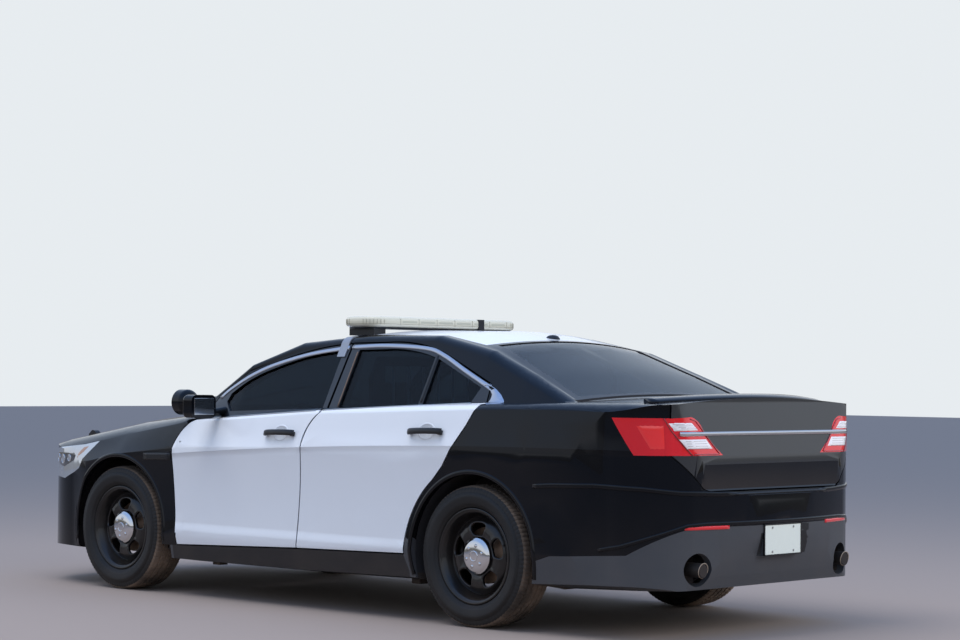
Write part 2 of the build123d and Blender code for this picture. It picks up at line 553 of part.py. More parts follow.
def panels(nodes):
    """The outer panels, doors, lids, glass and the shell that carries them."""
    left_half = block((0, -2700, 0), (1100, 2800, 1700))
    outer = largest(envelope(0, 0, 0, 0) & left_half)

    # Wheel wells and arches of the left side
    arches = [disc(800, 1050, y, axle_z, arch_radius) for y in (front_axle_y, rear_axle_y)]
    rear_well = [disc(rear_well_inner_x, 926, rear_axle_y, axle_z, rear_well_radius), arches[1]]

    # Inner surfaces at each wall thickness
    fascia_core = envelope(fascia_thickness, fascia_thickness, fascia_thickness, fascia_thickness)
    lamp_core = envelope(lamp_thickness, lamp_thickness, lamp_thickness, lamp_thickness)
    flange_core = envelope(flange_thickness, flange_thickness, flange_thickness, flange_thickness)

    hood_region = plan_prism(HOOD, 780, 1300)
    hood_pocket = plan_prism(offset(HOOD, panel_gap), 780, 1300)
    lid_region = rear_prism(LID, lid_front_y, 2700)
    lid_pocket = rear_prism(offset(LID, panel_gap), lid_front_y - 22, 2700)
    grille_region = rear_prism(GRILLE, -2600, -2380)
    intake_region = rear_prism(outline((0, 290), (520, 290), (560, 430), (0, 430)), -2600, -2380)

    # Hood, trunk lid and its lamps
    hood = skin(outer, envelope(hood_thickness, hood_thickness, hood_thickness, hood_thickness), hood_region)
    nodes["hood"] = [whole(hood - lid_hinge_cuts(hood_hinge, 1))]
    lid_lamp = largest(skin(outer, lamp_core, rear_prism(LAMP_LID, 2300, 2700)))
    nodes["lid_lamps"] = both(lid_lamp)
    lid = skin(outer, trimmed_body(lid_thickness, lid_thickness, lid_thickness), lid_region)
    nodes["trunk_lid"] = [whole(lid - lid_lamp - lid_hinge_cuts(lid_hinge, -1))]

    # Lamps on the body
    front_lamp = largest(skin(outer, lamp_core, side_prism(LAMP_FRONT, 452, 1000)))
    rear_lamp = largest(skin(outer, lamp_core, side_prism(LAMP_SIDE, 700, 1000)))
    front_lamp_lens = largest(front_lamp - hood_pocket)
    rear_lamp_lens = largest(rear_lamp - lid_pocket)
    nodes["headlamps"] = both(front_lamp_lens)
    nodes["tail_lamps"] = both(rear_lamp_lens)

    # Bumpers, fenders and sill cladding
    front_region = side_prism(FRONT_BUMPER, -1000, 1000)
    front_clear = disc(470, 920, front_axle_y, axle_z, front_well_radius + well_wall + 0.3)
    bumper = skin(outer, fascia_core, front_region) - [arches[0], front_clear, hood_pocket, front_lamp, grille_region, intake_region,
                                                       block((258, -2700, 556), (302, -2380, 604))]
    nodes["front_bumper"] = [whole(bumper)]
    fender_region = side_prism(FENDER, 400, 1000)
    fender = skin(outer, fascia_core, fender_region) - [front_region, arches[0], front_clear, hood_pocket, front_lamp,
                                                        block((0, hood_rear_y - panel_gap, 0), (705, -700, 1500))]
    fender_back = (side_prism(FENDER, 780, 1000) - Pos(0, -flange_width - 4, 0) * side_prism(FENDER, 700, 1100)) & flange_core
    fender_back = fender_back & block((780, -1030, 280), (1000, -850, 1010))
    fender = largest(fender - fender_back)
    nodes["front_fenders"] = both(fender)
    rear_bumper = largest(skin(outer, fascia_core, side_prism(REAR_BUMPER, -1000, 1000)) - [arches[1], lid_pocket, rear_lamp])
    nodes["rear_bumper"] = [whole(rear_bumper)]
    valance = largest(skin(outer, fascia_core, side_prism(VALANCE, -1000, 1000))
                      - [arches[1], bar((600, 2400, 350), (600, 2700, 350), 82), block((-1, 1800, 100), (640, 2470, 330))])
    pad = block((-1, tail_y - 60, plate_z - 78), (158, tail_y - 10, plate_z + 75.7))
    plate_holes = [bar((plate_spacing[0] / 2, tail_y - 80, plate_z + side * plate_spacing[1] / 2),
                       (plate_spacing[0] / 2, tail_y, plate_z + side * plate_spacing[1] / 2), plate_hole_radius) for side in (1, -1)]
    nodes["rear_valance"] = [whole((valance + pad) - plate_holes)]
    pad_room = [block((698, y - 32, 100), (762, y + 32, 250)) for y in jack_pad_y]
    sill = largest(skin(outer, fascia_core, side_prism(SILL, 600, 1000)) - pad_room)
    nodes["sill_cladding"] = both(sill)

    # Doors and their glass
    door_core = body_loft(door_thickness, 14, 20) + cabin_loft(frame_thickness, frame_thickness * 0.6)
    glass_outer, glass_core = cabin_loft(12, 4), cabin_loft(12 + glass_thickness, 8)
    for name, face, windows, hinge_y in (
        ("front", FRONT_DOOR, [FRONT_WINDOW], front_door_hinge_y),
        ("rear", REAR_DOOR, [REAR_WINDOW, QUARTER_WINDOW], rear_door_hinge_y),
    ):
        prism = side_prism(face, 500, 1000)
        door = skin(outer, door_core, prism)
        # the back edge is a thin flange, so that it clears its neighbour as it swings
        edge = (prism - Pos(0, -flange_width, 0) * side_prism(face, 450, 1050)) & flange_core
        cut = [side_prism(w, 500, 1000) for w in windows]
        glass = [largest(skin(glass_outer, glass_core, c)) for c in cut]
        door = largest(door - [edge, *cut, disc(800, 1050, rear_axle_y, axle_z, arch_radius + 6)])
        nodes["door_" + name + "_left"] = [largest(hinge_door(door, hinge_y))]
        nodes["door_" + name + "_right"] = flipped(nodes["door_" + name + "_left"])
        nodes["window_" + name + "_left"] = glass
        nodes["window_" + name + "_right"] = flipped(glass)

    # Roof and fixed glass
    roof_core, glass_top, glass_under = cabin_loft(0, roof_thickness), cabin_loft(0, glass_inset), cabin_loft(0, glass_inset + glass_thickness)
    roof = largest(skin(outer, roof_core, plan_prism(ROOF, 1300, 1600)))
    nodes["roof_panel"] = [whole(roof)]
    nodes["windscreen"] = [whole(skin(glass_top, glass_under, plan_prism(WINDSCREEN, 1010, 1600), left_half))]
    nodes["rear_window"] = [whole(skin(glass_top, glass_under, plan_prism(BACKLIGHT, 1156, 1600), left_half))]

    # Body shell, left half: the skin and all behind it back from the firewall
    shell = outer & block((-1, firewall_y, 0), (1100, 2800, 1700))
    tunnel_cover = block((-145, -1100, 0), (145, 1200, 368))
    upper_void = cabin_loft(frame_thickness + seat_gap + upper_pillar_thickness, headliner_thickness, 60) & left_half
    cabin_void = [
        block((-1, cabin_front_y, floor_top_z), (800, 940, 1010)) - tunnel_cover,
        block((-1, 930, 480), (655, cabin_rear_y, 1160)),
        upper_void & block((-1, cabin_front_y - 30, 900), (900, cabin_rear_y, 1600)),
        upper_void & block((-1, 1000, 1152), (900, 1866, 1600)),
    ]
    trunk_void = trimmed_body(78, 34, 78) & left_half
    trunk_void = [
        (trunk_void & block((-1, trunk_front_y, trunk_floor_z), (900, lid_front_y - 20, 1118)))
        - disc(rear_well_inner_x - well_wall, 1000, rear_axle_y, axle_z, rear_well_radius + well_wall),
        (trunk_void & block((-1, lid_front_y - 60, trunk_floor_z), (900, 2700, 1300))),
    ]
    under_void = [
        block((-1, 960, 100), (620, 2620, 440)), block((-1, -1100, 0), (120, 1200, 345)),
        block((600, rear_axle_y - 190, 100), (700, rear_axle_y + 190, 470)), bar((600, 2380, 350), (600, 2700, 350), 82),
    ]
    pocket_core = body_loft(door_thickness + seat_gap, 26, 24) + cabin_loft(frame_thickness + seat_gap, 30)
    swing_room = door_hinge_x - 91
    prisms = [(side_prism(offset(face, door_gap), 500, 1000), side_prism(offset(face, door_gap), swing_room, 1000), hinge_y)
              for face, hinge_y in ((FRONT_DOOR, front_door_hinge_y), (REAR_DOOR, rear_door_hinge_y))]
    door_cuts = []
    for prism, deep, hinge_y in prisms:
        door_cuts.append((outer & prism) - pocket_core)
        door_cuts.append(deep & block((700, -1100, 0), (1100, hinge_y + 48, 1000)))
    apertures = [side_prism(offset(face, -seal_land), 500, 1000) for face in (FRONT_DOOR, REAR_DOOR)]
    lid_cut = (outer & lid_pocket) - trimmed_body(38, 40, 38)
    lid_aperture = rear_prism(offset(LID, -44), lid_front_y + 40, 2700)
    shell = shell - cabin_void - trunk_void - under_void - rear_well
    shell = shell - door_cuts - apertures
    shell = shell - [lid_cut, lid_aperture, plan_prism(WINDSCREEN, 1010, 1600), plan_prism(BACKLIGHT, 1156, 1600)]
    shell = shell - [roof, rear_bumper, valance, pad, rear_lamp_lens, sill]
    shell = shell - (fender_region & block((600, -1100, 0), (1100, -700, 1500)) & outer - fascia_core)
    shell = largest(shell)
    return shell


def front_frame():
    """The left half of the structure ahead of the firewall: rail, cross member, wheel house and strut tower."""
    y = front_axle_y
    rail = block((398, -2330, 440), (478, firewall_y + 20, 540))
    cross = block((-1, -2335, 300), (560, -2285, 600)) + block((380, -2400, 540), (500, -2330, 620))
    house = disc(478, 900, y, axle_z, front_well_radius + well_wall) - disc(front_well_inner_x, 905, y, axle_z, front_well_radius)
    house = house - block((470, y - 600, 0), (910, y + 600, 500))
    house += block((478, y - front_well_radius, 440), (front_well_inner_x, y + front_well_radius, 560))
    top = steering_point(840)
    tower = bar(steering_point(812), steering_point(884), 72) & block((488, y - 100, 700), (800, y + 100, 1000))
    tower = tower - bar(steering_point(780), steering_point(876), 14 + running_clearance)
    house = house - bar(steering_point(760), steering_point(830), 66)
    shelf = block((560, firewall_y - 40, 440), (800, firewall_y + 10, 700))
    brace = block((470, -1060, 440), (560, firewall_y + 10, 560))
    return [rail, cross, house, tower, brace]


def build():
    """Every node, by name."""
    nodes = {}
    shell = panels(nodes)
    lugs = pillar_lugs(front_door_hinge_y) + pillar_lugs(rear_door_hinge_y)
    hinges = [lid_hinge_lug(hood_hinge, 1, firewall_y + 10, 56), lid_hinge_lug(lid_hinge, -1, lid_front_y - 30, 56)]
    pads = [block((700, y - 30, 175), (760, y + 30, 245)) for y in jack_pad_y]
    nodes["body_shell"] = [whole(shell + front_frame() + lugs + hinges + pads)]
    running_gear(nodes)
    fittings(nodes)
    cabin(nodes)
    return nodes


if __name__ == "__main__":
    os.makedirs("parts", exist_ok=True)
    for name, shape in build().items():
        pieces = solids(shape)
        print(name, len(pieces), round(sum(s.volume for s in pieces) / 1e6, 2), all(s.is_valid for s in pieces))
        export_step(Compound(children=pieces), "parts/" + name + ".step")
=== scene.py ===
"""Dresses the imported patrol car: finishes, added trim, a studio and the photograph's camera."""

import json
from math import acos, cos, hypot, pi, radians, sin

import bmesh
import bpy
from mathutils import Matrix, Vector
from mathutils.bvhtree import BVHTree

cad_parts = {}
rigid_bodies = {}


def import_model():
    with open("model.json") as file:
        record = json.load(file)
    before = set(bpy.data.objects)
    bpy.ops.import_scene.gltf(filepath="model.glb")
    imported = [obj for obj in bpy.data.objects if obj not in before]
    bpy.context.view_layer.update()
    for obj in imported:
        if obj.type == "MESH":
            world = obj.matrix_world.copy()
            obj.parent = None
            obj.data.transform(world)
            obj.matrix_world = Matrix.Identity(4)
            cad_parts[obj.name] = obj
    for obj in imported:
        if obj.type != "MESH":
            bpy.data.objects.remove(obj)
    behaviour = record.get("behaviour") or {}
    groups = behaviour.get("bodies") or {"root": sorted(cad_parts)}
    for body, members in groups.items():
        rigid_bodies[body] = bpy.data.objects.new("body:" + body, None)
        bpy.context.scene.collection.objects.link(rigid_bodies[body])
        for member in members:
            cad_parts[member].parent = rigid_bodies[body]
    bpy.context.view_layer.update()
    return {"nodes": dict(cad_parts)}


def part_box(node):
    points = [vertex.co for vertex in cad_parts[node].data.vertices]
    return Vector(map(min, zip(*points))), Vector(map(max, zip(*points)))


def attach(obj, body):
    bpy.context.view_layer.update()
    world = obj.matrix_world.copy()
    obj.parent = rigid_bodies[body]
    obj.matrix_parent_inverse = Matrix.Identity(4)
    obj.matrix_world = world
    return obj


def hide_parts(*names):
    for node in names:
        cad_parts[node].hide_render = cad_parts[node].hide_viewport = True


for left_over in list(bpy.data.objects):
    bpy.data.objects.remove(left_over)
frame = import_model()
nodes = frame["nodes"]

# metres in the CAD's frame: x to the car's left, y to its rear, z up
FRONT_AXLE, REAR_AXLE, AXLE_Z, HALF_TRACK = -1.492, 1.376, 0.3635, 0.83
BELT = (1.0685, 0.0645, -0.01016)  # height of the belt line: at y = 0, its slope and its bend
SHOULDER = (0.878, 0.05, -0.0125)  # the same for the crease below it
PAINT_EDGE = 0.005  # the doors' white ends this far above the belt line
HANDLES = (("front", -0.072, 0.953), ("rear", 1.05, 0.988))  # the pull handles: door, y, z
CUP_RISE = 0.004  # the middle of a handle's cup above the handle's
WHITE, BLACK, DUST_TONE = (0.72, 0.75, 0.8), (0.0022, 0.0028, 0.0048), (0.36, 0.26, 0.19)

# ---------------------------------------------------------------- materials


def put(node, values):
    """Sets a node's sockets, by name or number."""
    for key, value in values.items():
        node.inputs[key].default_value = value


def map_range(n, l, source, *limits):
    """A node that takes the source from the first two limits to the last two."""
    node = n.new("ShaderNodeMapRange")
    put(node, dict(zip(("From Min", "From Max", "To Min", "To Max"), limits)))
    l.new(source, node.inputs["Value"])
    return node


def dust_group():
    """A shared node group: a colour with dust laid over it, thicker near the ground and in soft patches."""
    g = bpy.data.node_groups.new("Dust", "ShaderNodeTree")
    for name, kind in (("Color", "NodeSocketColor"), ("Amount", "NodeSocketFloat"), ("Roughness", "NodeSocketFloat")):
        g.interface.new_socket(name=name, in_out="INPUT", socket_type=kind)
    for name, kind in (("Color", "NodeSocketColor"), ("Roughness", "NodeSocketFloat")):
        g.interface.new_socket(name=name, in_out="OUTPUT", socket_type=kind)
    n, l = g.nodes, g.links
    gin, gout = n.new("NodeGroupInput"), n.new("NodeGroupOutput")
    coord, split = n.new("ShaderNodeTexCoord"), n.new("ShaderNodeSeparateXYZ")
    l.new(coord.outputs["Object"], split.inputs[0])
    height = map_range(n, l, split.outputs["Z"], 0.05, 0.75, 1.0, 0.12)
    noise = n.new("ShaderNodeTexNoise")
    put(noise, {"Scale": 5.5, "Detail": 7})
    l.new(coord.outputs["Object"], noise.inputs["Vector"])
    spots = map_range(n, l, noise.outputs["Fac"], 0.34, 0.72)
    both, amount = n.new("ShaderNodeMath"), n.new("ShaderNodeMath")
    both.operation = amount.operation = "MULTIPLY"
    amount.use_clamp = True
    l.new(height.outputs[0], both.inputs[0])
    l.new(spots.outputs[0], both.inputs[1])
    l.new(both.outputs[0], amount.inputs[0])
    l.new(gin.outputs["Amount"], amount.inputs[1])
    mix, rough = n.new("ShaderNodeMix"), n.new("ShaderNodeMix")
    mix.data_type = "RGBA"
    put(mix, {7: (*DUST_TONE, 1)})
    put(rough, {3: 0.85})
    l.new(amount.outputs[0], mix.inputs[0])
    l.new(gin.outputs["Color"], mix.inputs[6])
    l.new(amount.outputs[0], rough.inputs[0])
    l.new(gin.outputs["Roughness"], rough.inputs[2])
    l.new(mix.outputs[2], gout.inputs["Color"])
    l.new(rough.outputs[0], gout.inputs["Roughness"])
    return g


DUST = dust_group()


def material(name, colour, rough=0.5, metal=0.0, coat=0.0, dust=0.0, bump=0.0, bump_scale=400.0,
             transmission=0.0, specular=0.5, ior=1.5):
    """A Principled material with procedural dust and bump."""
    m = bpy.data.materials.new(name)
    m.use_nodes = True
    n, l = m.node_tree.nodes, m.node_tree.links
    b = n["Principled BSDF"]
    put(b, {"Base Color": (*colour, 1), "Roughness": rough, "Metallic": metal, "Coat Weight": coat,
            "Coat Roughness": 0.03, "Transmission Weight": transmission, "Specular IOR Level": specular,
            "IOR": ior})
    if dust:
        d = n.new("ShaderNodeGroup")
        d.node_tree = DUST
        put(d, {"Color": (*colour, 1), "Amount": dust, "Roughness": rough})
        l.new(d.outputs["Color"], b.inputs["Base Color"])
        l.new(d.outputs["Roughness"], b.inputs["Roughness"])
    if bump:
        coord, noise, bp = n.new("ShaderNodeTexCoord"), n.new("ShaderNodeTexNoise"), n.new("ShaderNodeBump")
        put(noise, {"Scale": bump_scale})
        put(bp, {"Strength": bump, "Distance": 0.001})
        l.new(coord.outputs["Object"], noise.inputs["Vector"])
        l.new(noise.outputs["Fac"], bp.inputs["Height"])
        l.new(bp.outputs["Normal"], b.inputs["Normal"])
    return m


M = {
    "black": material("black paint", BLACK, 0.16, coat=0.38, dust=0.02, specular=0.1),
    "white": material("white paint", WHITE, 0.34, coat=0.6, dust=0.05),
    # near-black; also the painted shade inside the exhaust tips
    "recess": material("recess black", (0.002, 0.002, 0.003), 0.1, coat=0.7, dust=0.06, specular=0.2),
    "charcoal": material("charcoal cladding", (0.05, 0.054, 0.062), 0.4, dust=0.05, bump=0.25, bump_scale=900),
    "plastic": material("black plastic", (0.009, 0.009, 0.011), 0.4, dust=0.05),
    "trim": material("inner trim", (0.03, 0.03, 0.034), 0.7),
    "carpet": material("carpet", (0.018, 0.018, 0.02), 0.95, bump=0.6, bump_scale=700),
    "under": material("underbody", (0.012, 0.011, 0.011), 0.85, dust=0.3),
    "glass": material("tinted glass", (0.1, 0.155, 0.205), 0.02, transmission=1.0, specular=0.75, ior=1.25),
    "chrome": material("chrome", (0.66, 0.66, 0.67), 0.1, metal=1.0),
    "satin": material("satin metal", (0.55, 0.55, 0.54), 0.32, metal=1.0),
    "steel": material("wheel steel", (0.0035, 0.0035, 0.0042), 0.28, coat=0.35, dust=0.05, specular=0.35),
    "rotor": material("brake disc", (0.26, 0.17, 0.12), 0.55, metal=0.7, dust=0.5),
    "rubber": material("tyre rubber", (0.0065, 0.0065, 0.007), 0.66, dust=0.035, bump=0.3, bump_scale=500),
    "tread": material("dusty tread", (0.06, 0.046, 0.036), 0.95, dust=0.9, bump=0.5, bump_scale=260),
    # also the painted shade over the plate's pocket
    "seal": material("window rubber", (0.008, 0.008, 0.009), 0.5),
    "red": material("red lens", (0.74, 0.01, 0.018), 0.1, coat=1.0),
    "deep_red": material("dark red lens", (0.22, 0.004, 0.006), 0.12, coat=1.0),
    "clear": material("clear lens", (0.9, 0.87, 0.88), 0.1, coat=1.0),
    "lamp": material("headlamp lens", (0.5, 0.52, 0.54), 0.06, coat=1.0, metal=0.45),
    "rib": material("lens rib", (0.5, 0.44, 0.44), 0.2, coat=0.6),
    "rib_red": material("lens frame", (0.42, 0.05, 0.06), 0.15, coat=0.8),
    "bright_red": material("bright red lens", (0.95, 0.035, 0.035), 0.1, coat=1.0),
    "bar": material("light bar lens", (0.6, 0.575, 0.46), 0.22, coat=0.7, dust=0.2),
    "rib_bar": material("light bar rib", (0.33, 0.31, 0.24), 0.4),
    "bar_clear": material("light bar segment", (0.48, 0.47, 0.38), 0.1, coat=1.0),
    "cast": material("cast metal", (0.1, 0.095, 0.09), 0.7, metal=0.5, dust=0.6),
    "muffler": material("dusty muffler", (0.4, 0.33, 0.26), 0.7, metal=0.3, dust=1.0),
    "cloth": material("seat cloth", (0.028, 0.028, 0.032), 0.95, bump=0.6, bump_scale=900),
    "bench": material("bench plastic", (0.05, 0.05, 0.056), 0.6),
    "cage": material("cage bars", (0.55, 0.56, 0.58), 0.4, metal=0.2),
    "plate": material("blank plate", (0.72, 0.76, 0.7), 0.35, coat=0.3),
    "bronze": material("brown edge", (0.17, 0.11, 0.075), 0.4),
    "bright": material("bright trim", (0.52, 0.55, 0.62), 0.3, metal=0.9),
    "strap": material("bar strap", (0.34, 0.36, 0.4), 0.4, metal=0.6),
    # the lid's back face: a lighter black, partly dust and partly painted reflection of the ground
    "lid_black": material("black paint with dust and painted reflection", (0.022, 0.023, 0.025), 0.3, coat=0.5, dust=0.03),
    "pipe": material("dark pipe", (0.035, 0.03, 0.027), 0.5, metal=0.4),
    "housing": material("lamp housing", (0.1, 0.105, 0.11), 0.18, coat=1.0, metal=0.4),
    "amber_dark": material("amber corner", (0.3, 0.15, 0.08), 0.12, coat=1.0),
    "dial": material("dial face", (0.55, 0.56, 0.58), 0.4),
}


def belt(y):
    """Height of the belt line at y."""
    return BELT[0] + BELT[1] * y + BELT[2] * y * y


def add_relief(m, is_door):
    """The crease along the side, and on doors the lower ledge and the cups behind the handles, as bump."""
    n, l = m.node_tree.nodes, m.node_tree.links
    coord, split = n.new("ShaderNodeTexCoord"), n.new("ShaderNodeSeparateXYZ")
    l.new(coord.outputs["Object"], split.inputs[0])
    y, z = split.outputs["Y"], split.outputs["Z"]

    def calc(op, a, b, clamp=False):
        node = n.new("ShaderNodeMath")
        node.operation, node.use_clamp = op, clamp
        for k, v in enumerate((a, b)):
            if isinstance(v, (int, float)):
                node.inputs[k].default_value = v
            else:
                l.new(v, node.inputs[k])
        return node.outputs[0]

    def line(start, slope, bend):
        """A height that changes with y."""
        return calc("ADD", calc("MULTIPLY", y, calc("ADD", slope, calc("MULTIPLY", y, bend))), start)

    reach_up, reach_down, crease = 0.1, 0.035, 0.0065
    over = calc("SUBTRACT", z, line(*SHOULDER))
    above = calc("SUBTRACT", 1.0, calc("DIVIDE", over, reach_up), True)
    under = calc("ADD", 1.0, calc("DIVIDE", over, reach_down), True)
    ridge = calc("MULTIPLY", calc("MULTIPLY", above, above), calc("MULTIPLY", under, under))
    height = calc("MULTIPLY", ridge, crease)
    if is_door:
        step = map_range(n, l, z, 0.372, 0.428, 0.01, 0.0)
        step.interpolation_type = "SMOOTHSTEP"
        height = calc("ADD", height, step.outputs[0])
        cup_radius, cup_depth = 0.044, 0.012
        for _, cup_y, handle_z in HANDLES:
            dy, dz = calc("SUBTRACT", y, cup_y), calc("SUBTRACT", z, handle_z + CUP_RISE)
            square = calc("ADD", calc("MULTIPLY", dy, dy), calc("MULTIPLY", dz, dz))
            near = calc("SUBTRACT", 1.0, calc("DIVIDE", square, cup_radius ** 2), True)
            height = calc("SUBTRACT", height, calc("MULTIPLY", near, cup_depth))
    bump = n.new("ShaderNodeBump")
    put(bump, {"Strength": 1.0, "Distance": 1.0})
    l.new(height, bump.inputs["Height"])
    l.new(bump.outputs["Normal"], n["Principled BSDF"].inputs["Normal"])
    return z, line, calc


def door_paint():
    """White up to just above the belt line and black over it, by height alone."""
    m = M["white"].copy()
    m.name = "door paint"
    n, l = m.node_tree.nodes, m.node_tree.links
    z, line, calc = add_relief(m, True)
    mix = n.new("ShaderNodeMix")
    mix.data_type = "RGBA"
    put(mix, {6: (*WHITE, 1), 7: (*BLACK, 1)})
    l.new(calc("GREATER_THAN", z, line(BELT[0] + PAINT_EDGE, *BELT[1:])), mix.inputs[0])
    dust = next(node for node in n if node.type == "GROUP")
    l.new(mix.outputs[2], dust.inputs["Color"])
    return m


M["door"] = door_paint()
M["side_black"] = M["black"].copy()
M["side_black"].name = "side black paint"
add_relief(M["side_black"], False)

# ---------------------------------------------------------------- CAD nodes: finish and smooth shading


def smooth(o, angle=33):
    """Custom normals: faces that meet within the angle share one; the vertices stay where they are."""
    me = o.data
    limit = cos(radians(angle))
    at = {}
    for p in me.polygons:
        for k in range(p.loop_total):
            v = me.vertices[p.vertices[k]].co
            a = (me.vertices[p.vertices[k - 1]].co - v).normalized()
            b = (me.vertices[p.vertices[(k + 1) % p.loop_total]].co - v).normalized()
            weight = p.area * acos(max(-1, min(1, a.dot(b))))
            spot = (round(v.x, 5), round(v.y, 5), round(v.z, 5))
            at.setdefault(spot, []).append((p.normal, weight, p.loop_start + k))
    normals = [None] * len(me.loops)
    for found in at.values():
        for normal, _, loop in found:
            total = Vector((0, 0, 0))
            for other, weight, _ in found:
                if normal.dot(other) > limit:
                    total += other * weight
            normals[loop] = total.normalized() if total.length > 0 else normal
    for p in me.polygons:
        p.use_smooth = True
    me.normals_split_custom_set([tuple(v) if v is not None else (0, 0, 1) for v in normals])


def dress(name, *rules):
    """The first rule whose test passes gives a polygon its material; the last rule has no test."""
    o = nodes[name]
    o.data.materials.clear()
    for key, _ in rules:
        o.data.materials.append(M[key])
    for p in o.data.polygons:
        for k, (_, test) in enumerate(rules):
            if test is None or test(p.center, p.normal):
                p.material_index = k
                break
    smooth(o)


def inward(c, n):
    """Faces that look to the car's middle."""
    return n.x * (1 if c.x > 0 else -1) < -0.35


def outward(c, n):
    """Faces of the shell's outer skin: they look away from the car's middle."""
    return n.x * c.x + n.z * (c.z - 0.72) + (n.y * (c.y - 1.3) if c.y > 2.2 else 0) > 0


def cabin_side(c, n):
    """Faces of the shell that look into the cabin."""
    if outward(c, n) and c.z > 0.9 and (abs(c.x) > 0.62 or c.z > 1.17):
        return False
    if abs(c.x) >= 0.885 or not (-1.0 < c.y < 1.9 and 0.245 < c.z < 1.5):
        return False
    return inward(c, n) or n.z < -0.3 and c.z > 0.9 or n.z > 0.3 and c.z < 1.17 or abs(n.y) > 0.5


def underside(c, n):
    """Faces of the shell's floor and of its wheel houses."""
    front = abs(c.y - FRONT_AXLE) < 0.5 and c.z < 0.9
    rear = abs(c.y - REAR_AXLE) < 0.45 and c.z < 0.8
    return abs(c.x) < 0.9 and (c.z < 0.46 or front or rear)


def trunk_inside(c, n):
    """Faces of the shell that line the trunk."""
    return abs(c.x) < 0.86 and 1.1 < c.y < 2.56 and 0.46 < c.z < 1.12 and n.z > -0.2 and not outward(c, n)


def side_skin(c, n):
    """Faces of the outer side, which carry the crease."""
    return abs(n.x) > 0.5 and abs(c.x) > 0.8


def brake_face(c, n):
    """Faces of a wheel's node behind its pressed disc."""
    y = FRONT_AXLE if c.y < 0 else REAR_AXLE
    return abs(c.x) < HALF_TRACK + 0.002 and hypot(c.y - y, c.z - AXLE_Z) < 0.15


PLAIN = {
    "white": "roof_panel", "black": "hood front_bumper rear_bumper spotlight mirror_left mirror_right",
    # the sill cladding wears the black plastic, darker than the charcoal of the valance and the shell's lower sides:
    # painted shade under the doors
    "charcoal": "rear_valance", "plastic": "sill_cladding grille push_bar", "lamp": "headlamps",
    "red": "tail_lamps lid_lamps", "bar": "light_bar", "trim": "dashboard steering_wheel", "cloth": "front_seats",
    "glass": "windscreen rear_window", "bench": "rear_bench", "under": "fuel_tank",
    "cast": "engine_block front_subframe rear_suspension knuckle_left knuckle_right",
}
for key, names in PLAIN.items():
    for name in names.split():
        dress(name, (key, None))
dress("front_fenders", ("side_black", side_skin), ("black", None))
dress("trunk_lid",
      ("recess", lambda c, n: abs(c.x) < 0.63 and c.z < 0.842 and n.y > 0.3),
      # faces looking back on the lid above its recess: a lighter black, partly dust and partly painted reflection of
      # the ground
      ("lid_black", lambda c, n: c.y > 2.4 and c.z > 0.84 and n.y > 0.6),
      ("trim", lambda c, n: n.y < -0.3 or n.z < -0.5),
      ("black", None))
dress("body_shell",
      ("trim", cabin_side),
      ("charcoal", lambda c, n: abs(c.x) > 0.86 and c.z < 0.43 and n.z > -0.6),
      ("under", underside),
      ("carpet", trunk_inside),
      ("side_black", lambda c, n: side_skin(c, n) and c.z < 1.02),
      ("black", None))
dress("partition", ("cage", lambda c, n: 0.9 < c.z < 1.33 and abs(c.x) < 0.56), ("plastic", None))
dress("light_bar_feet", ("plastic", lambda c, n: abs(c.x) < 0.6 and abs(n.z) < 0.9), ("strap", None))
dress("exhaust", ("pipe", lambda c, n: c.y > 2.3), ("muffler", None))
for end in ("front_left", "front_right", "rear_left", "rear_right"):
    dress("door_" + end, ("trim", inward), ("door", None))
    dress("window_" + end, ("glass", None))
    dress("wheel_" + end, ("rotor", brake_face), ("steel", None))
    dress("tyre_" + end, ("rubber", None))

# ---------------------------------------------------------------- helpers for added pieces


def mesh(name, verts, faces, key, body="body", flat=False):
    """A new piece with one finish, which rides on a body of the frame."""
    name = name.replace(" ", "_")
    me = bpy.data.meshes.new(name)
    me.from_pydata([tuple(v) for v in verts], [], faces)
    me.validate()
    me.materials.append(M[key])
    for p in me.polygons:
        p.use_smooth = not flat
    o = bpy.data.objects.new(name, me)
    bpy.context.scene.collection.objects.link(o)
    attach(o, body)
    return o


def grid_faces(rows, width):
    """Quads over rows of width points each."""
    return [(i * width + j, i * width + j + 1, (i + 1) * width + j + 1, (i + 1) * width + j)
            for i in range(rows - 1) for j in range(width - 1)]


def band_faces(rows, width, first=0):
    """The same where the last row meets the first one again; first is the number of the first point."""
    faces = []
    for i in range(rows):
        here, there = first + i * width, first + (i + 1) % rows * width
        faces += [(here + j, here + j + 1, there + j + 1, there + j) for j in range(width - 1)]
    return faces


def ring_faces(rings, n, lids=False):
    """Quads between rings of n points each, and a lid on both ends where asked."""
    faces = [(i * n + k, i * n + (k + 1) % n, (i + 1) * n + (k + 1) % n, (i + 1) * n + k)
             for i in range(rings - 1) for k in range(n)]
    return faces + [tuple(range(n))[::-1], tuple(range((rings - 1) * n, rings * n))] if lids else faces


def box(name, low, high, key, body="body", bevel=0.0):
    x0, y0, z0 = low
    x1, y1, z1 = high
    verts = [(x, y, z) for x in (x0, x1) for y in (y0, y1) for z in (z0, z1)]
    faces = [(0, 1, 3, 2), (4, 6, 7, 5), (0, 4, 5, 1), (2, 3, 7, 6), (0, 2, 6, 4), (1, 5, 7, 3)]
    o = mesh(name, verts, faces, key, body, flat=True)
    if bevel:
        soften(o, bevel)
    return o


def soften(o, width):
    """Rounds the edges by modifiers."""
    b = o.modifiers.new("soft edges", "BEVEL")
    b.width, b.segments, b.limit_method, b.angle_limit = width, 2, "ANGLE", radians(35)
    w = o.modifiers.new("even shading", "WEIGHTED_NORMAL")
    w.keep_sharp = True


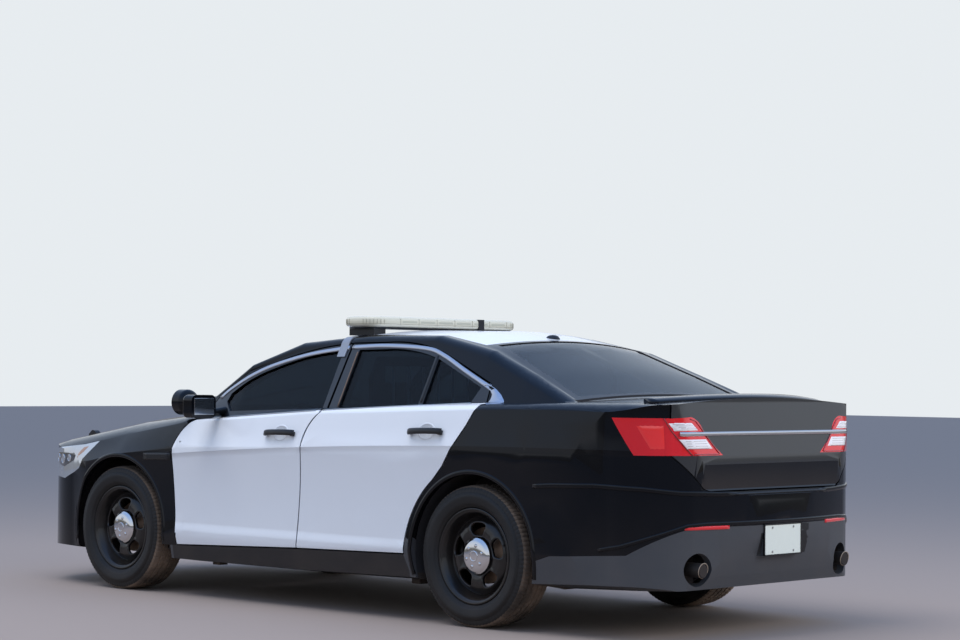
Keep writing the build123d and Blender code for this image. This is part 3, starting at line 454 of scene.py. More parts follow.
def sweep(name, path, sides, key, body="body", closed=False):
    """A profile of (across, up) pairs run along a path of (point, up direction)."""
    verts = []
    count, k = len(path), len(sides)
    for i, (p, up) in enumerate(path):
        a = path[i - 1][0] if i or closed else p
        b = path[(i + 1) % count][0] if i < count - 1 or closed else p
        along = (Vector(b) - Vector(a)).normalized()
        up = Vector(up).normalized()
        across = along.cross(up).normalized()
        up = across.cross(along).normalized()
        for s, t in sides:
            verts.append(Vector(p) + across * s + up * t)
    faces = ring_faces(count, k, not closed)
    if closed:
        end = (count - 1) * k
        faces += [(end + m, end + (m + 1) % k, (m + 1) % k, m) for m in range(k)]
    o = mesh(name, verts, faces, key, body)
    fix(o)
    return o


def fix(o):
    """Normals outward."""
    bm = bmesh.new()
    bm.from_mesh(o.data)
    bmesh.ops.recalc_face_normals(bm, faces=bm.faces)
    bm.to_mesh(o.data)
    bm.free()


def round_sides(r, n):
    """The corners of a regular outline with n sides."""
    return [(r * cos(2 * pi * k / n), r * sin(2 * pi * k / n)) for k in range(n)]


def strip_sides(width, thick):
    """A trim section with softened shoulders, its back on the surface."""
    w = width / 2
    half = [(w * 0.3, thick), (w * 0.72, thick * 0.85), (w, thick * 0.35), (w, -0.002)]
    return [(-across, up) for across, up in reversed(half)] + half


def lathe(name, profile, centre, key, body, side, n, cap):
    """A profile of (along x, radius) pairs turned about the wheel's axis."""
    verts = [(centre[0] + side * x, centre[1] + v, centre[2] + w) for x, r in profile for v, w in round_sides(r, n)]
    fix(mesh(name, verts, ring_faces(len(profile), n, cap), key, body))


def tree(names):
    """The faces of the named nodes, for rays that look for their skin."""
    verts, faces = [], []
    for name in names.split():
        me = nodes[name].data
        base = len(verts)
        verts += [v.co.copy() for v in me.vertices]
        faces += [[base + i for i in p.vertices] for p in me.polygons]
    return BVHTree.FromPolygons(verts, faces)


SIDE = tree("body_shell front_fenders front_bumper rear_bumper door_front_left door_rear_left window_front_left "
            "window_rear_left sill_cladding tail_lamps headlamps rear_valance")
REAR = tree("body_shell trunk_lid rear_bumper rear_valance lid_lamps tail_lamps")
TOP = tree("body_shell hood trunk_lid roof_panel windscreen rear_window front_fenders front_bumper headlamps")
WRAP = tree("body_shell rear_bumper rear_valance tail_lamps trunk_lid")


def meet(skin, start, way, otherwise):
    """The point where a ray meets a skin and the direction out of it there."""
    p, n, _, _ = skin.ray_cast(Vector(start), Vector(way))
    if p is None:
        return Vector(otherwise), -Vector(way)
    return p, n if n.dot(Vector(way)) < 0 else -n


# the skin's point and its outward direction on the left side, the back and the top
def on_side(y, z):
    return meet(SIDE, (1.3, y, z), (-1, 0, 0), (0.9, y, z))


def on_rear(x, z):
    return meet(REAR, (x, 3.2, z), (0, -1, 0), (x, 2.6, z))


def on_top(x, y):
    return meet(TOP, (x, y, 1.54), (0, 0, -1), (x, y, 1.0))


def on_wrap(angle, z):
    """The skin round the tail at a height; the angle is from straight back."""
    d = Vector((sin(angle), cos(angle), 0))
    return meet(WRAP, Vector((0, 1.75, z)) + d * 1.6, -d, (0, 2.6, z))


def ring_on(skin, u, v, radius_u, radius_v, n, lift):
    """A closed path of (point, outward direction) pairs round (u, v)."""
    path = []
    for a, b in round_sides(1.0, n):
        p, m = skin(u + radius_u * a, v + radius_v * b)
        path.append((p + m * lift, m))
    return path


def cover_row(p0, m0, p1, m1, lift):
    """Points across a thin cover from p0 to p1: its edges lie on the skin and the rest is lifted."""
    return [p0 + (p1 - p0) * t + (m0 * (1 - t) + m1 * t) * (lift if 0 < t < 1 else 0.0)
            for t in (0, 0.12, 0.5, 0.88, 1)]


def spread(points, step=0.03):
    """A polyline cut into even steps."""
    out = [Vector(points[0])]
    for a, b in zip(points, points[1:]):
        a, b = Vector(a), Vector(b)
        n = max(1, round((b - a).length / step))
        out += [a + (b - a) * (k / n) for k in range(1, n + 1)]
    return out


def curve(points, step=0.03):
    """A smooth line through the points, in even steps."""
    pts = [Vector(p) for p in points]
    pts = [pts[0] * 2 - pts[1]] + pts + [pts[-1] * 2 - pts[-2]]
    out = []
    for i in range(1, len(pts) - 2):
        p0, p1, p2, p3 = pts[i - 1:i + 3]
        n = max(2, round((p2 - p1).length / step))
        for k in range(n):
            t, bend, turn = k / n, 2 * p0 - 5 * p1 + 4 * p2 - p3, 3 * p1 - p0 - 3 * p2 + p3
            out.append(0.5 * (2 * p1 + (p2 - p0) * t + bend * t * t + turn * t ** 3))
    out.append(pts[-2])
    return out


def side_pair(o, body="body"):
    """A left piece gets its twin on the car's right side."""
    me = o.data.copy()
    me.transform(Matrix.Scale(-1, 4, (1, 0, 0)))
    me.flip_normals()
    twin = bpy.data.objects.new(o.name + "_right", me)
    bpy.context.scene.collection.objects.link(twin)
    for m in o.modifiers:
        if m.type == "BEVEL":
            soften(twin, m.width)
    body = body.replace("left", "right")
    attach(twin, body)


def side_strip(name, points, width, thick, key, body="body", smooth_line=True):
    """A strip along (y, z) points on both sides of the car."""
    cut = curve if smooth_line else spread
    path = [on_side(q.x, q.y) for q in cut([(y, z, 0) for y, z in points])]
    for k in range(1, len(path) - 1):  # bridge the shut lines
        if abs(path[k][0].x - (path[k - 1][0].x + path[k + 1][0].x) / 2) > 0.004:
            path[k] = ((path[k - 1][0] + path[k + 1][0]) / 2, path[k - 1][1])
    side_pair(sweep(name, path, strip_sides(width, thick), key, body), body)


def patch(name, outline, key, place, lift, body="body", step=0.02, rings=5):
    """A thin piece on a skin inside a convex outline, cut into rings that shrink to its middle."""
    n = len(outline)
    cu, cv = sum(p[0] for p in outline) / n, sum(p[1] for p in outline) / n
    edge = []
    for i in range(n):
        a, b = outline[i], outline[(i + 1) % n]
        k = max(1, round(hypot(b[0] - a[0], b[1] - a[1]) / step))
        edge += [(a[0] + (b[0] - a[0]) * t / k, a[1] + (b[1] - a[1]) * t / k) for t in range(k)]
    verts = []
    for s in range(rings):
        f = 1 - s / rings
        for u, v in edge:
            p, m = place(cu + (u - cu) * f, cv + (v - cv) * f)
            verts.append(p + m * (lift if s else 0.0))
    p, m = place(cu, cv)
    verts.append(p + m * lift)
    k, last = len(edge), (rings - 1) * len(edge)
    faces = ring_faces(rings, k) + [(last + i, last + (i + 1) % k, len(verts) - 1) for i in range(k)]
    return mesh(name, verts, faces, key, body)


# ---------------------------------------------------------------- wheels and tyres
# half of the tyre's section: (from its middle plane, radius, kind)
# kinds: 0 side wall, 1 floor of a groove, 2 shoulder blocks, 3 inner ribs, 4 middle rib
TYRE_SECTION = [
    (0.088, 0.23, 0), (0.0905, 0.2465, 0), (0.1, 0.25, 0), (0.108, 0.257, 0), (0.1105, 0.262, 0),
    (0.1125, 0.2625, 0), (0.1165, 0.276, 0), (0.1205, 0.292, 0), (0.1222, 0.302, 0), (0.1222, 0.314, 0),
    (0.1208, 0.315, 0), (0.119, 0.326, 0), (0.117, 0.327, 2), (0.1125, 0.342, 2), (0.106, 0.352, 2),
    (0.096, 0.3585, 2), (0.08, 0.361, 2), (0.064, 0.3622, 2), (0.0625, 0.354, 1), (0.0545, 0.354, 1),
    (0.053, 0.3628, 3), (0.026, 0.3633, 3), (0.0245, 0.3545, 1), (0.0165, 0.3545, 1), (0.015, 0.3633, 4),
    (0.0, 0.3634, 4),
]
# pieces turned about the wheel's axis: profiles of (from the wheel's middle plane, radius)
HUB_CAP = [(0.0735, 0.0935), (0.0775, 0.0945), (0.081, 0.0925), (0.0835, 0.086), (0.0885, 0.082),
           (0.0925, 0.074), (0.0965, 0.058), (0.0985, 0.036), (0.0993, 0.014)]
CAP_RING = [(0.0965, 0.03), (0.1012, 0.0275), (0.1018, 0.024), (0.0985, 0.021)]
BARREL = [(-0.1, 0.2455), (-0.1, 0.236), (-0.088, 0.222), (-0.062, 0.22), (-0.048, 0.198),
          (0.0355, 0.198), (0.036, 0.201), (0.045, 0.203), (0.062, 0.218), (0.09, 0.222),
          (0.0985, 0.233), (0.1, 0.2458), (0.091, 0.2458), (0.088, 0.23), (0.064, 0.2286),
          (0.038, 0.206), (-0.05, 0.206), (-0.064, 0.2286), (-0.088, 0.23), (-0.091, 0.2458),
          (-0.1, 0.2455)]
BRAKE_DISC = [(-0.022, 0.06), (-0.022, 0.145), (-0.001, 0.145), (0.0, 0.142), (0.0, 0.08), (0.03, 0.078),
              (0.032, 0.06)]
HUB = [(-0.062, 0.0305), (-0.062, 0.07), (0.05, 0.07), (0.0562, 0.064)]
RIM_EDGE = [(0.0985, 0.233), (0.1015, 0.2345), (0.103, 0.2385), (0.1025, 0.244), (0.0995, 0.2462)]
CAP_BOSS = [(0.09, 0.0105), (0.0985, 0.009), (0.1005, 0.0045)]
VALVE = [(0.04, 0.006), (0.066, 0.005), (0.068, 0.004), (0.078, 0.004)]
# the pressed disc: (radius, from the wheel's middle plane)
DISC_DEPTH = [(0.06, 0.054), (0.086, 0.062), (0.11, 0.071), (0.132, 0.0735), (0.158, 0.069), (0.18, 0.056),
              (0.196, 0.04), (0.2035, 0.03)]
# rings from a window's edge out to its sector's border: (share of the way, added depth)
DISC_RINGS = ((0.0, -0.016), (0.0, -0.006), (0.07, 0.0005), (0.16, 0.0022), (0.3, 0.0012), (0.48, 0.0),
              (0.74, 0.0), (1.0, 0.0))


def tyre(name, place, hand):
    """Tyre with four grooves round it, cut shoulder blocks and ribbed side walls."""
    side = 1 if hand == "left" else -1
    y = FRONT_AXLE if place == "front" else REAR_AXLE
    profile = TYRE_SECTION + [(-x, r, k) for x, r, k in reversed(TYRE_SECTION[:-1])]
    count, shoulder_cut, rib_cut = 288, 0.0026, 0.004
    verts = []
    for j in range(count):
        a = 2 * pi * j / count
        for x, r, kind in profile:
            if kind == 2 and (j + (2 if x < 0 else 0)) % 3 == 0:
                r -= shoulder_cut
            if kind in (3, 4) and (j + (1 if x < 0 else 0)) % 4 == 1:
                r -= rib_cut
            verts.append((side * HALF_TRACK + x, y + r * cos(a), AXLE_Z + r * sin(a)))
    body = "wheel_" + place + "_" + hand + "_body"
    o = mesh(name, verts, band_faces(count, len(profile)), "rubber", body)
    o.data.materials.append(M["tread"])
    for p in o.data.polygons:
        r = hypot(p.center.y - y, p.center.z - AXLE_Z)
        dusty = r > 0.3535 or r > 0.34 and abs(abs(p.center.x) - HALF_TRACK) < 0.1
        p.material_index = 1 if dusty else 0
        p.use_smooth = r < 0.33
    fix(o)
    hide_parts("tyre_" + place + "_" + hand)


def disc_depth(r):
    """How far the disc lies from the wheel's middle plane."""
    for (ra, xa), (rb, xb) in zip(DISC_DEPTH, DISC_DEPTH[1:]):
        if r <= rb:
            return xa + (xb - xa) * max(0.0, (r - ra) / (rb - ra))
    return DISC_DEPTH[-1][1]


def wheel_disc(name, y, side, body):
    """Five sectors round wide windows, each window with a rolled edge."""
    count, middle, roundness = 56, 0.1375, 3.2
    verts, faces = [], []
    for k in range(5):
        faces += band_faces(count, len(DISC_RINGS), len(verts))
        turn = radians(72 * k + 90)
        for j in range(count):
            t = 2 * pi * (j + 0.5) / count
            ct, st = cos(t), sin(t)
            h = (abs(ct) ** roundness + abs(st) ** roundness) ** (-1 / roundness)
            window_r, window_a = middle + 0.0315 * h * ct, radians(18.5) * h * st * (1 + 0.1 * ct)
            g = 1 / max(abs(ct), abs(st))
            border_r, border_a = middle + (0.066 if ct > 0 else 0.076) * g * ct, radians(36) * g * st
            for share, lift in DISC_RINGS:
                r = window_r + (border_r - window_r) * share
                a = (window_a + (border_a - window_a) * share + turn) * side
                x = HALF_TRACK + disc_depth(r) + lift
                verts.append((side * x, y + r * cos(a), AXLE_Z + r * sin(a)))
    disc = mesh(name, verts, faces, "steel", body)
    fix(disc)
    if sum(p.normal.x * side * p.area for p in disc.data.polygons) < 0:
        disc.data.flip_normals()
    return disc


def wheel_detail(place, hand):
    """The pressed wheel with its cap, brake and valve."""
    side = 1 if hand == "left" else -1
    y = FRONT_AXLE if place == "front" else REAR_AXLE
    body = "wheel_" + place + "_" + hand + "_body"
    tag = " " + place + " " + hand

    def turned(name, profile, key, n, cap=False, off=0.0, angle=0.0):
        """A turned piece, off the wheel's axis by a distance at an angle."""
        centre = (side * HALF_TRACK, y + off * cos(angle), AXLE_Z + off * sin(angle))
        lathe(name, profile, centre, key, body, side, n, cap)

    turned("hub cap" + tag, HUB_CAP, "chrome", 56, True)
    for k in range(6):  # a generic raised pattern of six bosses and a ring
        turned("cap boss" + tag + str(k), CAP_BOSS, "chrome", 14, True, 0.054, pi / 3 * k + 0.3)
    turned("cap ring" + tag, CAP_RING, "chrome", 40)
    disc = wheel_disc("wheel disc" + tag, y, side, body)
    turned("wheel barrel" + tag, BARREL, "steel", 96)
    turned("brake disc" + tag, BRAKE_DISC, "rotor", 72)
    turned("hub" + tag, HUB, "cast", 40)
    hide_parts("wheel_" + place + "_" + hand)
    turned("rim edge" + tag, RIM_EDGE, "steel", 96)
    turned("valve" + tag, VALVE, "plastic", 10, True, 0.193, radians(20))


for place in ("front", "rear"):
    for hand in ("left", "right"):
        tyre("tyre tread " + place + " " + hand, place, hand)
        wheel_detail(place, hand)

# ---------------------------------------------------------------- side trim

FL, RL = "door_front_left_body", "door_rear_left_body"
# upper edge of the side windows, (y, z)
TOP_LINE = [(-0.725, 1.139), (-0.662, 1.191), (-0.513, 1.273), (-0.354, 1.333), (-0.1, 1.392), (0.197, 1.43),
            (0.479, 1.44), (0.792, 1.425), (0.939, 1.388), (1.136, 1.307), (1.3, 1.246)]
side_strip("chrome front door", [p for p in TOP_LINE if p[0] < 0.198], 0.024, 0.006, "bright", FL)
side_strip("chrome rear door", [(0.222, 1.432), *(p for p in TOP_LINE if 0.3 < p[0] < 1.3), (1.325, 1.232)],
           0.024, 0.006, "bright", RL)
for name, line, body in (("front", ((-0.735, 0.006), (-0.3, 0.004), (0.168, 0.004)), FL),
                         ("rear", ((0.222, 0.004), (0.8, 0.004), (1.26, 0.006)), RL)):
    side_strip("chrome belt " + name, [(y, belt(y) + up) for y, up in line], 0.008, 0.004, "satin", body)

# the bright corner behind the rear door's glass: its two edges, (y, z)
OUTER = [(1.333, 1.242), (1.37, 1.226), (1.398, 1.214), (1.446, 1.185), (1.474, 1.16), (1.483, 1.148),
         (1.476, 1.142), (1.451, 1.139), (1.4, 1.137)]
INNER = [(1.322, 1.222), (1.345, 1.212), (1.363, 1.204), (1.382, 1.186), (1.384, 1.169), (1.381, 1.158),
         (1.377, 1.15), (1.374, 1.145), (1.37, 1.138)]
verts = []
for (ya, za), (yb, zb) in zip(OUTER, INNER):
    for t, up in ((0.0, 0.0), (0.15, 0.005), (0.5, 0.007), (0.85, 0.005), (1.0, 0.0)):
        q, m = on_side(ya + (yb - ya) * t, za + (zb - za) * t)
        verts.append(q + m * up)
side_pair(mesh("chrome corner", verts, grid_faces(len(OUTER), 5), "bright"))

for y0, y1, top, width, key in ((0.283, 0.275, 1.405, 0.007, "bronze"), (0.899, 0.895, 1.385, 0.016, "seal")):
    line = [(y0, belt(y0) + 0.02), ((y0 + y1) / 2, 1.26), (y1, top)]
    side_strip("pillar line " + key, line, width, 0.004, key, RL, False)


def flush(name, y, z, body):
    """A pull handle over a round cup."""
    edge = ring_on(on_side, y, z + CUP_RISE, 0.058, 0.04, 28, -0.001)
    side_pair(sweep(name + " cup edge", edge, strip_sides(0.01, 0.0022), "white", body, closed=True), body)
    length, rise, foot, arch = 0.236, 0.006, 0.012, 0.02
    path = []
    for k in range(15):
        f = k / 14
        q, m = on_side(y + length * (f - 0.5), z + rise * (f - 0.5))
        path.append((q + m * (foot + arch * sin(pi * f) ** 0.5), m))
    grip = [(-0.015, -0.006), (-0.016, 0.003), (-0.01, 0.008), (0.01, 0.008), (0.016, 0.003), (0.015, -0.006)]
    side_pair(sweep(name, path, grip, "plastic", body), body)
    for dy in (-0.106, 0.106):
        q = on_side(y + dy, z)[0]
        low, high = q - Vector((0.004, 0.012, 0.012)), q + Vector((0.02, 0.012, 0.012))
        side_pair(box(name + " foot" + str(dy), low, high, "plastic", body, 0.004), body)


for k, z in enumerate((0.42, 0.85)):  # the door skin over each front hinge
    verts = []
    for y, lift in ((-0.955, 0), (-0.945, 0.0007), (-0.93, 0.0007), (-0.915, 0.0007), (-0.9, 0.0007), (-0.89, 0)):
        (lower, m), (upper, _) = on_side(y, z - 0.058), on_side(y, z + 0.058)
        verts += cover_row(lower, m, upper, m, lift)
    side_pair(mesh("hinge cover" + str(k), verts, grid_faces(6, 5), "door", FL), FL)

LINER_R, LIP_R = 0.437, 0.43  # splash liner ahead of each front wheel, and lips of the wheel arches
verts = []
for k in range(21):
    a = radians(118 + 84 * k / 20)
    y, z = FRONT_AXLE + LINER_R * cos(a), AXLE_Z + LINER_R * sin(a)
    verts += [(x, y, z) for x in (0.52, on_side(y, z)[0].x - 0.004)]
side_pair(mesh("splash liner", verts, grid_faces(21, 2), "plastic"))

for door, y, z in HANDLES:
    flush("handle " + door, y, z, "door_" + door + "_left_body")

LIP = [(-0.013, -0.004), (-0.012, 0.003), (-0.004, 0.0055), (0.006, 0.0035), (0.012, 0.0), (0.012, -0.004)]
for place, y, first, last in (("front", FRONT_AXLE, -14, 192), ("rear", REAR_AXLE, -12, 196)):
    path = []
    for k in range(61):
        a = radians(first + (last - first) * k / 60)
        q = on_side(y + LIP_R * cos(a), AXLE_Z + LIP_R * sin(a))[0]
        if q.x >= 0.8:
            path.append((q, Vector((1, 0, 0))))
    side_pair(sweep("arch lip " + place, path, LIP, "black"))

line = [(-1.245, 0.792), (-1.12, 0.796), (-1.005, 0.798)]
side_strip("fender vent", line, 0.04, 0.005, "plastic", smooth_line=False)
for k in range(3):
    line = [(-1.235, 0.783 + 0.01 * k), (-1.01, 0.788 + 0.01 * k)]
    side_strip("fender vent bar" + str(k), line, 0.004, 0.009, "recess", smooth_line=False)

# inside of the headlamps: a dark housing behind the lens, an amber corner and three reflectors
for name, line, key in (
        ("housing", [(-2.285, 0.725), (-2.1, 0.7), (-1.985, 0.742), (-1.945, 0.79), (-2.28, 0.785)], "housing"),
        ("corner", [(-1.935, 0.757), (-1.88, 0.8), (-1.852, 0.832), (-1.9, 0.826), (-1.93, 0.795)],
         "amber_dark")):
    side_pair(patch("headlamp " + name, line, key, on_side, 0.0012))
for k, (y, z, r) in enumerate(((-2.215, 0.752, 0.024), (-2.12, 0.748, 0.028), (-2.035, 0.756, 0.02))):
    line = [(y + u, z + v) for u, v in round_sides(r, 20)]
    side_pair(patch("headlamp reflector" + str(k), line, "lamp", on_side, 0.0025, step=0.05))
    ring = ring_on(on_side, y, z, r, r, 20, 0.002)
    side_pair(sweep("headlamp ring" + str(k), ring, round_sides(0.0024, 6), "chrome", closed=True))

# mirror glass
for hand in ("left", "right"):
    low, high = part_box("mirror_" + hand)
    x0, x1 = (high.x - 0.165, high.x - 0.02) if hand == "left" else (low.x + 0.02, low.x + 0.165)
    box("mirror glass " + hand, (x0, high.y - 0.002, 1.046), (x1, high.y + 0.0015, 1.14), "chrome",
        "door_front_" + hand + "_body", 0.002)

# ---------------------------------------------------------------- back of the car

path = []
for k in range(41):
    x = -0.7 + 1.4 * k / 40
    path.append((on_top(x, 2.46 - 0.14 * (x / 0.7) ** 2)[0] + Vector((0, 0, 0.001)), (0, 0, 1)))
SPOILER = [(-0.055, -0.006), (-0.045, 0.006), (-0.008, 0.016), (0.026, 0.021), (0.038, 0.014), (0.042, -0.004)]
sweep("lid spoiler", path, SPOILER, "black", "trunk")

BRIGHT = [(-0.011, -0.002), (-0.011, 0.004), (-0.004, 0.008), (0.004, 0.008), (0.011, 0.004), (0.011, -0.002)]
sweep("lid chrome strip", [on_rear(-0.705 + 1.41 * k / 36, 1.01) for k in range(37)], BRIGHT, "chrome", "trunk")

GAP_IN, GAP_OUT = 0.728, 0.768  # x on both sides of the gap at the lid's edge


def bridged(x, z):
    """The point on the back at (x, z), carried over the gap at the lid's edge."""
    if not GAP_IN < abs(x) < GAP_OUT:
        return on_rear(x, z)
    s = 1 if x > 0 else -1
    (p0, m0), (p1, m1) = on_rear(s * GAP_IN, z), on_rear(s * GAP_OUT, z)
    t = (abs(x) - GAP_IN) / (GAP_OUT - GAP_IN)
    return p0 + (p1 - p0) * t, m0 * (1 - t) + m1 * t


# lamps on the lid: clear insets, their edges and ribs, as (x, z) on the left
INSETS = (("upper", [(0.762, 1.064), (0.629, 1.064), (0.587, 1.028), (0.735, 1.024)]),
          ("lower", [(0.708, 0.984), (0.532, 0.984), (0.49, 0.938), (0.672, 0.938)]))
LENS_LINES = (("seam", "deep_red", [(0.77, 1.086), (0.742, 1.026), (0.709, 0.981), (0.672, 0.937), (0.64, 0.906)]),
              ("frame", "rib_red", [(0.64, 1.083), (0.598, 1.073), (0.56, 1.036), (0.52, 0.99), (0.44, 0.912)]),
              ("foot", "rib_red", [(0.63, 0.911), (0.54, 0.911), (0.445, 0.911)]))
LENS_LINE = [(-0.0025, -0.001), (-0.002, 0.002), (0.002, 0.002), (0.0025, -0.001)]
# ribs: inset, x of the first one, its length, shift of each next one, z of the first one, step
LENS_RIBS = (("upper", 0.6, 0.1, 0.012, 1.036, 0.0075), ("lower", 0.52, 0.14, 0.006, 0.939, 0.012))
LENS_RIB = [(-0.001, -0.001), (-0.001, 0.001), (0.001, 0.001), (0.001, -0.001)]
TIP_X, TIP_Y, TIP_Z = 0.6, 2.592, 0.35  # end of the left exhaust tip

for s, hand in ((1, "left"), (-1, "right")):
    verts = []
    for k in range(9):  # the lens carried over the lid's edge
        z = 0.9055 + 0.1795 * k / 8
        verts += cover_row(*on_rear(s * GAP_IN, z), *on_rear(s * GAP_OUT, z), 0.002)
    mesh("lens edge " + hand, verts, grid_faces(9, 5), "red", "trunk")
    for name, line in INSETS:
        patch("lid lens " + name + " " + hand, [(s * x, z) for x, z in line], "clear", bridged, 0.0035, "trunk")
    for name, key, line in LENS_LINES:
        path = [bridged(s * q.x, q.y) for q in spread([(x, z, 0) for x, z in line], 0.02)]
        sweep("lens " + name + " " + hand, [(q + m * 0.002, m) for q, m in path], LENS_LINE, key, "trunk")
    for k in range(4):
        for name, x0, run, shift, z0, step in LENS_RIBS:
            path = [on_rear(s * (x0 + run * t / 6 + shift * k), z0 + step * k) for t in range(7)]
            path = [(q + m * 0.003, m) for q, m in path]
            sweep("lens rib " + name + " " + hand + str(k), path, LENS_RIB, "rib", "trunk")
    path = [on_rear(s * (0.406 + 0.273 * k / 14), 0.555) for k in range(15)]
    sweep("reflector " + hand, path, [(-0.011, -0.002), (-0.01, 0.003), (0.01, 0.003), (0.011, -0.002)], "red")
    path = [(Vector((s * TIP_X + 0.036 * a, TIP_Y + 0.006 * b, TIP_Z + 0.036 * b)), (a, 0, b))
            for a, b in round_sides(1.0, 24)]
    sweep("tip rim " + hand, path, round_sides(0.0022, 8), "muffler", closed=True)
    # a near-black disc across the tip's mouth: painted shade inside the pipe
    verts = [(s * TIP_X + a, TIP_Y + 0.0015, TIP_Z + b) for a, b in round_sides(0.032, 28)]
    mesh("tip painted shade " + hand, verts, [tuple(range(28))[::-1]], "recess", flat=True)

# side parts of the tail lamps: a brighter inner block
line = [(2.372, 1.05), (2.476, 1.05), (2.484, 0.936), (2.432, 0.936)]
side_pair(patch("tail lamp block", line, "bright_red", on_side, 0.0012))


def wrap_strip(name, heights, width, thick):
    """A moulded line round the tail; heights are (angle in degrees, z) pairs on the left, the same on the right."""
    table = [(-a, z) for a, z in reversed(heights)] + heights[1:]
    path = []
    for (a0, z0), (a1, z1) in zip(table, table[1:]):
        n = max(2, int(abs(a1 - a0) / 1.6))
        path += [on_wrap(radians(a0 + (a1 - a0) * k / n), z0 + (z1 - z0) * k / n) for k in range(n)]
    sweep(name, path, strip_sides(width, thick), "black")


wrap_strip("bumper shoulder", [(0, 0.716), (30, 0.716), (42, 0.724), (52, 0.742), (66, 0.752), (80, 0.745),
                               (89, 0.735)], 0.024, 0.006)
wrap_strip("bumper ledge", [(0, 0.572), (34, 0.572), (40, 0.566), (48, 0.52), (58, 0.462), (66, 0.434)],
           0.02, 0.007)
# a flat dull dark sheet over the plate's pocket, reaching further to the plate's right: painted shade in the pocket
patch("plate pocket painted shade", [(0.175, 0.5545), (0.175, 0.402), (-0.235, 0.402), (-0.235, 0.5545)], "seal", on_rear, 0.0008)

# plate, its frame and bolts
plate_y = max(on_rear(x, z)[0].y for x in (-0.15, 0, 0.15) for z in (0.41, 0.48, 0.54)) + 0.001
box("plate", (-0.1525, plate_y, 0.404), (0.1525, plate_y + 0.0015, 0.5555), "plate", "body", 0.0007)
for k, (x0, x1, z0, z1) in enumerate(((-0.158, 0.158, 0.5525, 0.5595), (-0.158, 0.158, 0.4, 0.407),
                                      (-0.158, -0.1505, 0.4, 0.5595), (0.1505, 0.158, 0.4, 0.5595))):
    box("plate frame" + str(k), (x0, plate_y - 0.002, z0), (x1, plate_y + 0.004, z1), "plastic", "body", 0.001)
for x in (-0.0889, 0.0889):
    for z in (0.42, 0.54):
        head = [(x + u, plate_y + y, z + v) for y in (0.0035, 0.001) for u, v in round_sides(0.006, 12)]
        faces = [tuple(range(12))[::-1]] + ring_faces(2, 12)
        fix(mesh("plate bolt " + str(round(x, 2)) + "_" + str(z), head, faces, "satin", flat=True))

# ---------------------------------------------------------------- roof

low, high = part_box("light_bar")
mid_x, mid_y = (low.x + high.x) / 2, (low.y + high.y) / 2
half_x, half_y, corner = (high.x - low.x) / 2, (high.y - low.y) / 2, 0.105


def bar_outline(inset):
    """A rectangle with round ends, seen from above; each point comes with its outward angle."""
    points = []
    for cx, cy, turn in ((1, 1, 0), (-1, 1, 90), (-1, -1, 180), (1, -1, 270)):
        x, y, r = mid_x + cx * (half_x - corner), mid_y + cy * (half_y - corner), corner - inset
        for k in range(9):
            a = radians(turn + 90 * k / 8)
            points.append((x + r * cos(a), y + r * sin(a), a))
    return points


def bar_rings(name, levels, key):
    """A closed form from (z, inset) levels of the bar's outline."""
    rings = [[(x, y, z) for x, y, _ in bar_outline(inset)] for z, inset in levels]
    n = len(rings[0])
    o = mesh(name, [v for ring in rings for v in ring], ring_faces(len(rings), n, True), key)
    fix(o)
    return o


lens = bar_rings("bar lens", [(low.z, 0.016), (low.z + 0.006, 0.003), (low.z + 0.014, 0.0), (high.z - 0.018, 0.0),
                              (high.z - 0.007, 0.004), (high.z - 0.0015, 0.013), (high.z, 0.03)], "bar")
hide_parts("light_bar")
bar_rings("bar base", [(low.z - 0.008, 0.03), (low.z - 0.008, 0.022), (low.z + 0.003, 0.014)], "plastic")
bar_rings("bar sill", [(low.z + 0.016, -0.0012), (low.z + 0.0185, -0.0012)], "rib_bar")
for k in range(8):
    x = 0.146 * k - 0.483
    for y in (low.y - 0.0008, high.y - 0.0012):
        tag = str(k) + str(round(y, 2))
        if abs(x) < half_x - corner:
            box("bar seam" + tag, (x - 0.0018, y, low.z + 0.012), (x + 0.0018, y + 0.002, high.z - 0.01), "rib_bar")
        if abs(x + 0.073) < half_x - corner - 0.05:
            box("bar cell" + tag, (x + 0.016, y + 0.0003, low.z + 0.024), (x + 0.13, y + 0.0015, high.z - 0.022),
                "bar_clear")
for k, (x, y, a) in enumerate(bar_outline(-0.0006)):  # ribs of the round ends
    if k % 9 in range(1, 8):
        across = Vector((-sin(a), cos(a), 0)) * 0.0013
        out = Vector((cos(a), sin(a), 0)) * 0.001
        verts = [Vector((x, y, z)) + across * i + out * j for z in (low.z + 0.014, high.z - 0.016)
                 for i, j in ((-1, -1), (1, -1), (1, 1), (-1, 1))]
        mesh("bar rib" + str(k), verts, ring_faces(2, 4, True), "rib_bar", flat=True)
box("bar clip", (-0.289, low.y - 0.003, low.z - 0.002), (-0.241, high.y + 0.003, high.z - 0.0004), "plastic",
    bevel=0.002)

# antenna: rings of (z, radius) on the roof's skin
ANTENNA = [(0.0, 0.04), (0.006, 0.038), (0.016, 0.03), (0.022, 0.016), (0.023, 0.004)]
ANTENNA_Y = 1.083
foot = on_top(0.0, ANTENNA_Y)[0].z - 0.004
verts = [(u, ANTENNA_Y + v, foot + z) for z, r in ANTENNA for u, v in round_sides(r, 28)]
fix(mesh("antenna puck", verts, ring_faces(5, 28) + [tuple(4 * 28 + k for k in range(28))], "plastic"))

# wipers on the windscreen: (x, y) of both ends
for name, a, b in (("wiper 1", (0.5, -0.915), (0.02, -0.8)), ("wiper -1", (-0.5, -0.915), (-0.06, -0.8))):
    path = []
    for k in range(15):
        q, m = on_top(a[0] + (b[0] - a[0]) * k / 14, a[1] + (b[1] - a[1]) * k / 14)
        path.append((q + m * 0.01, m))
    sweep(name, path, [(-0.009, -0.007), (-0.005, 0.005), (0.005, 0.005), (0.009, -0.007)], "plastic")

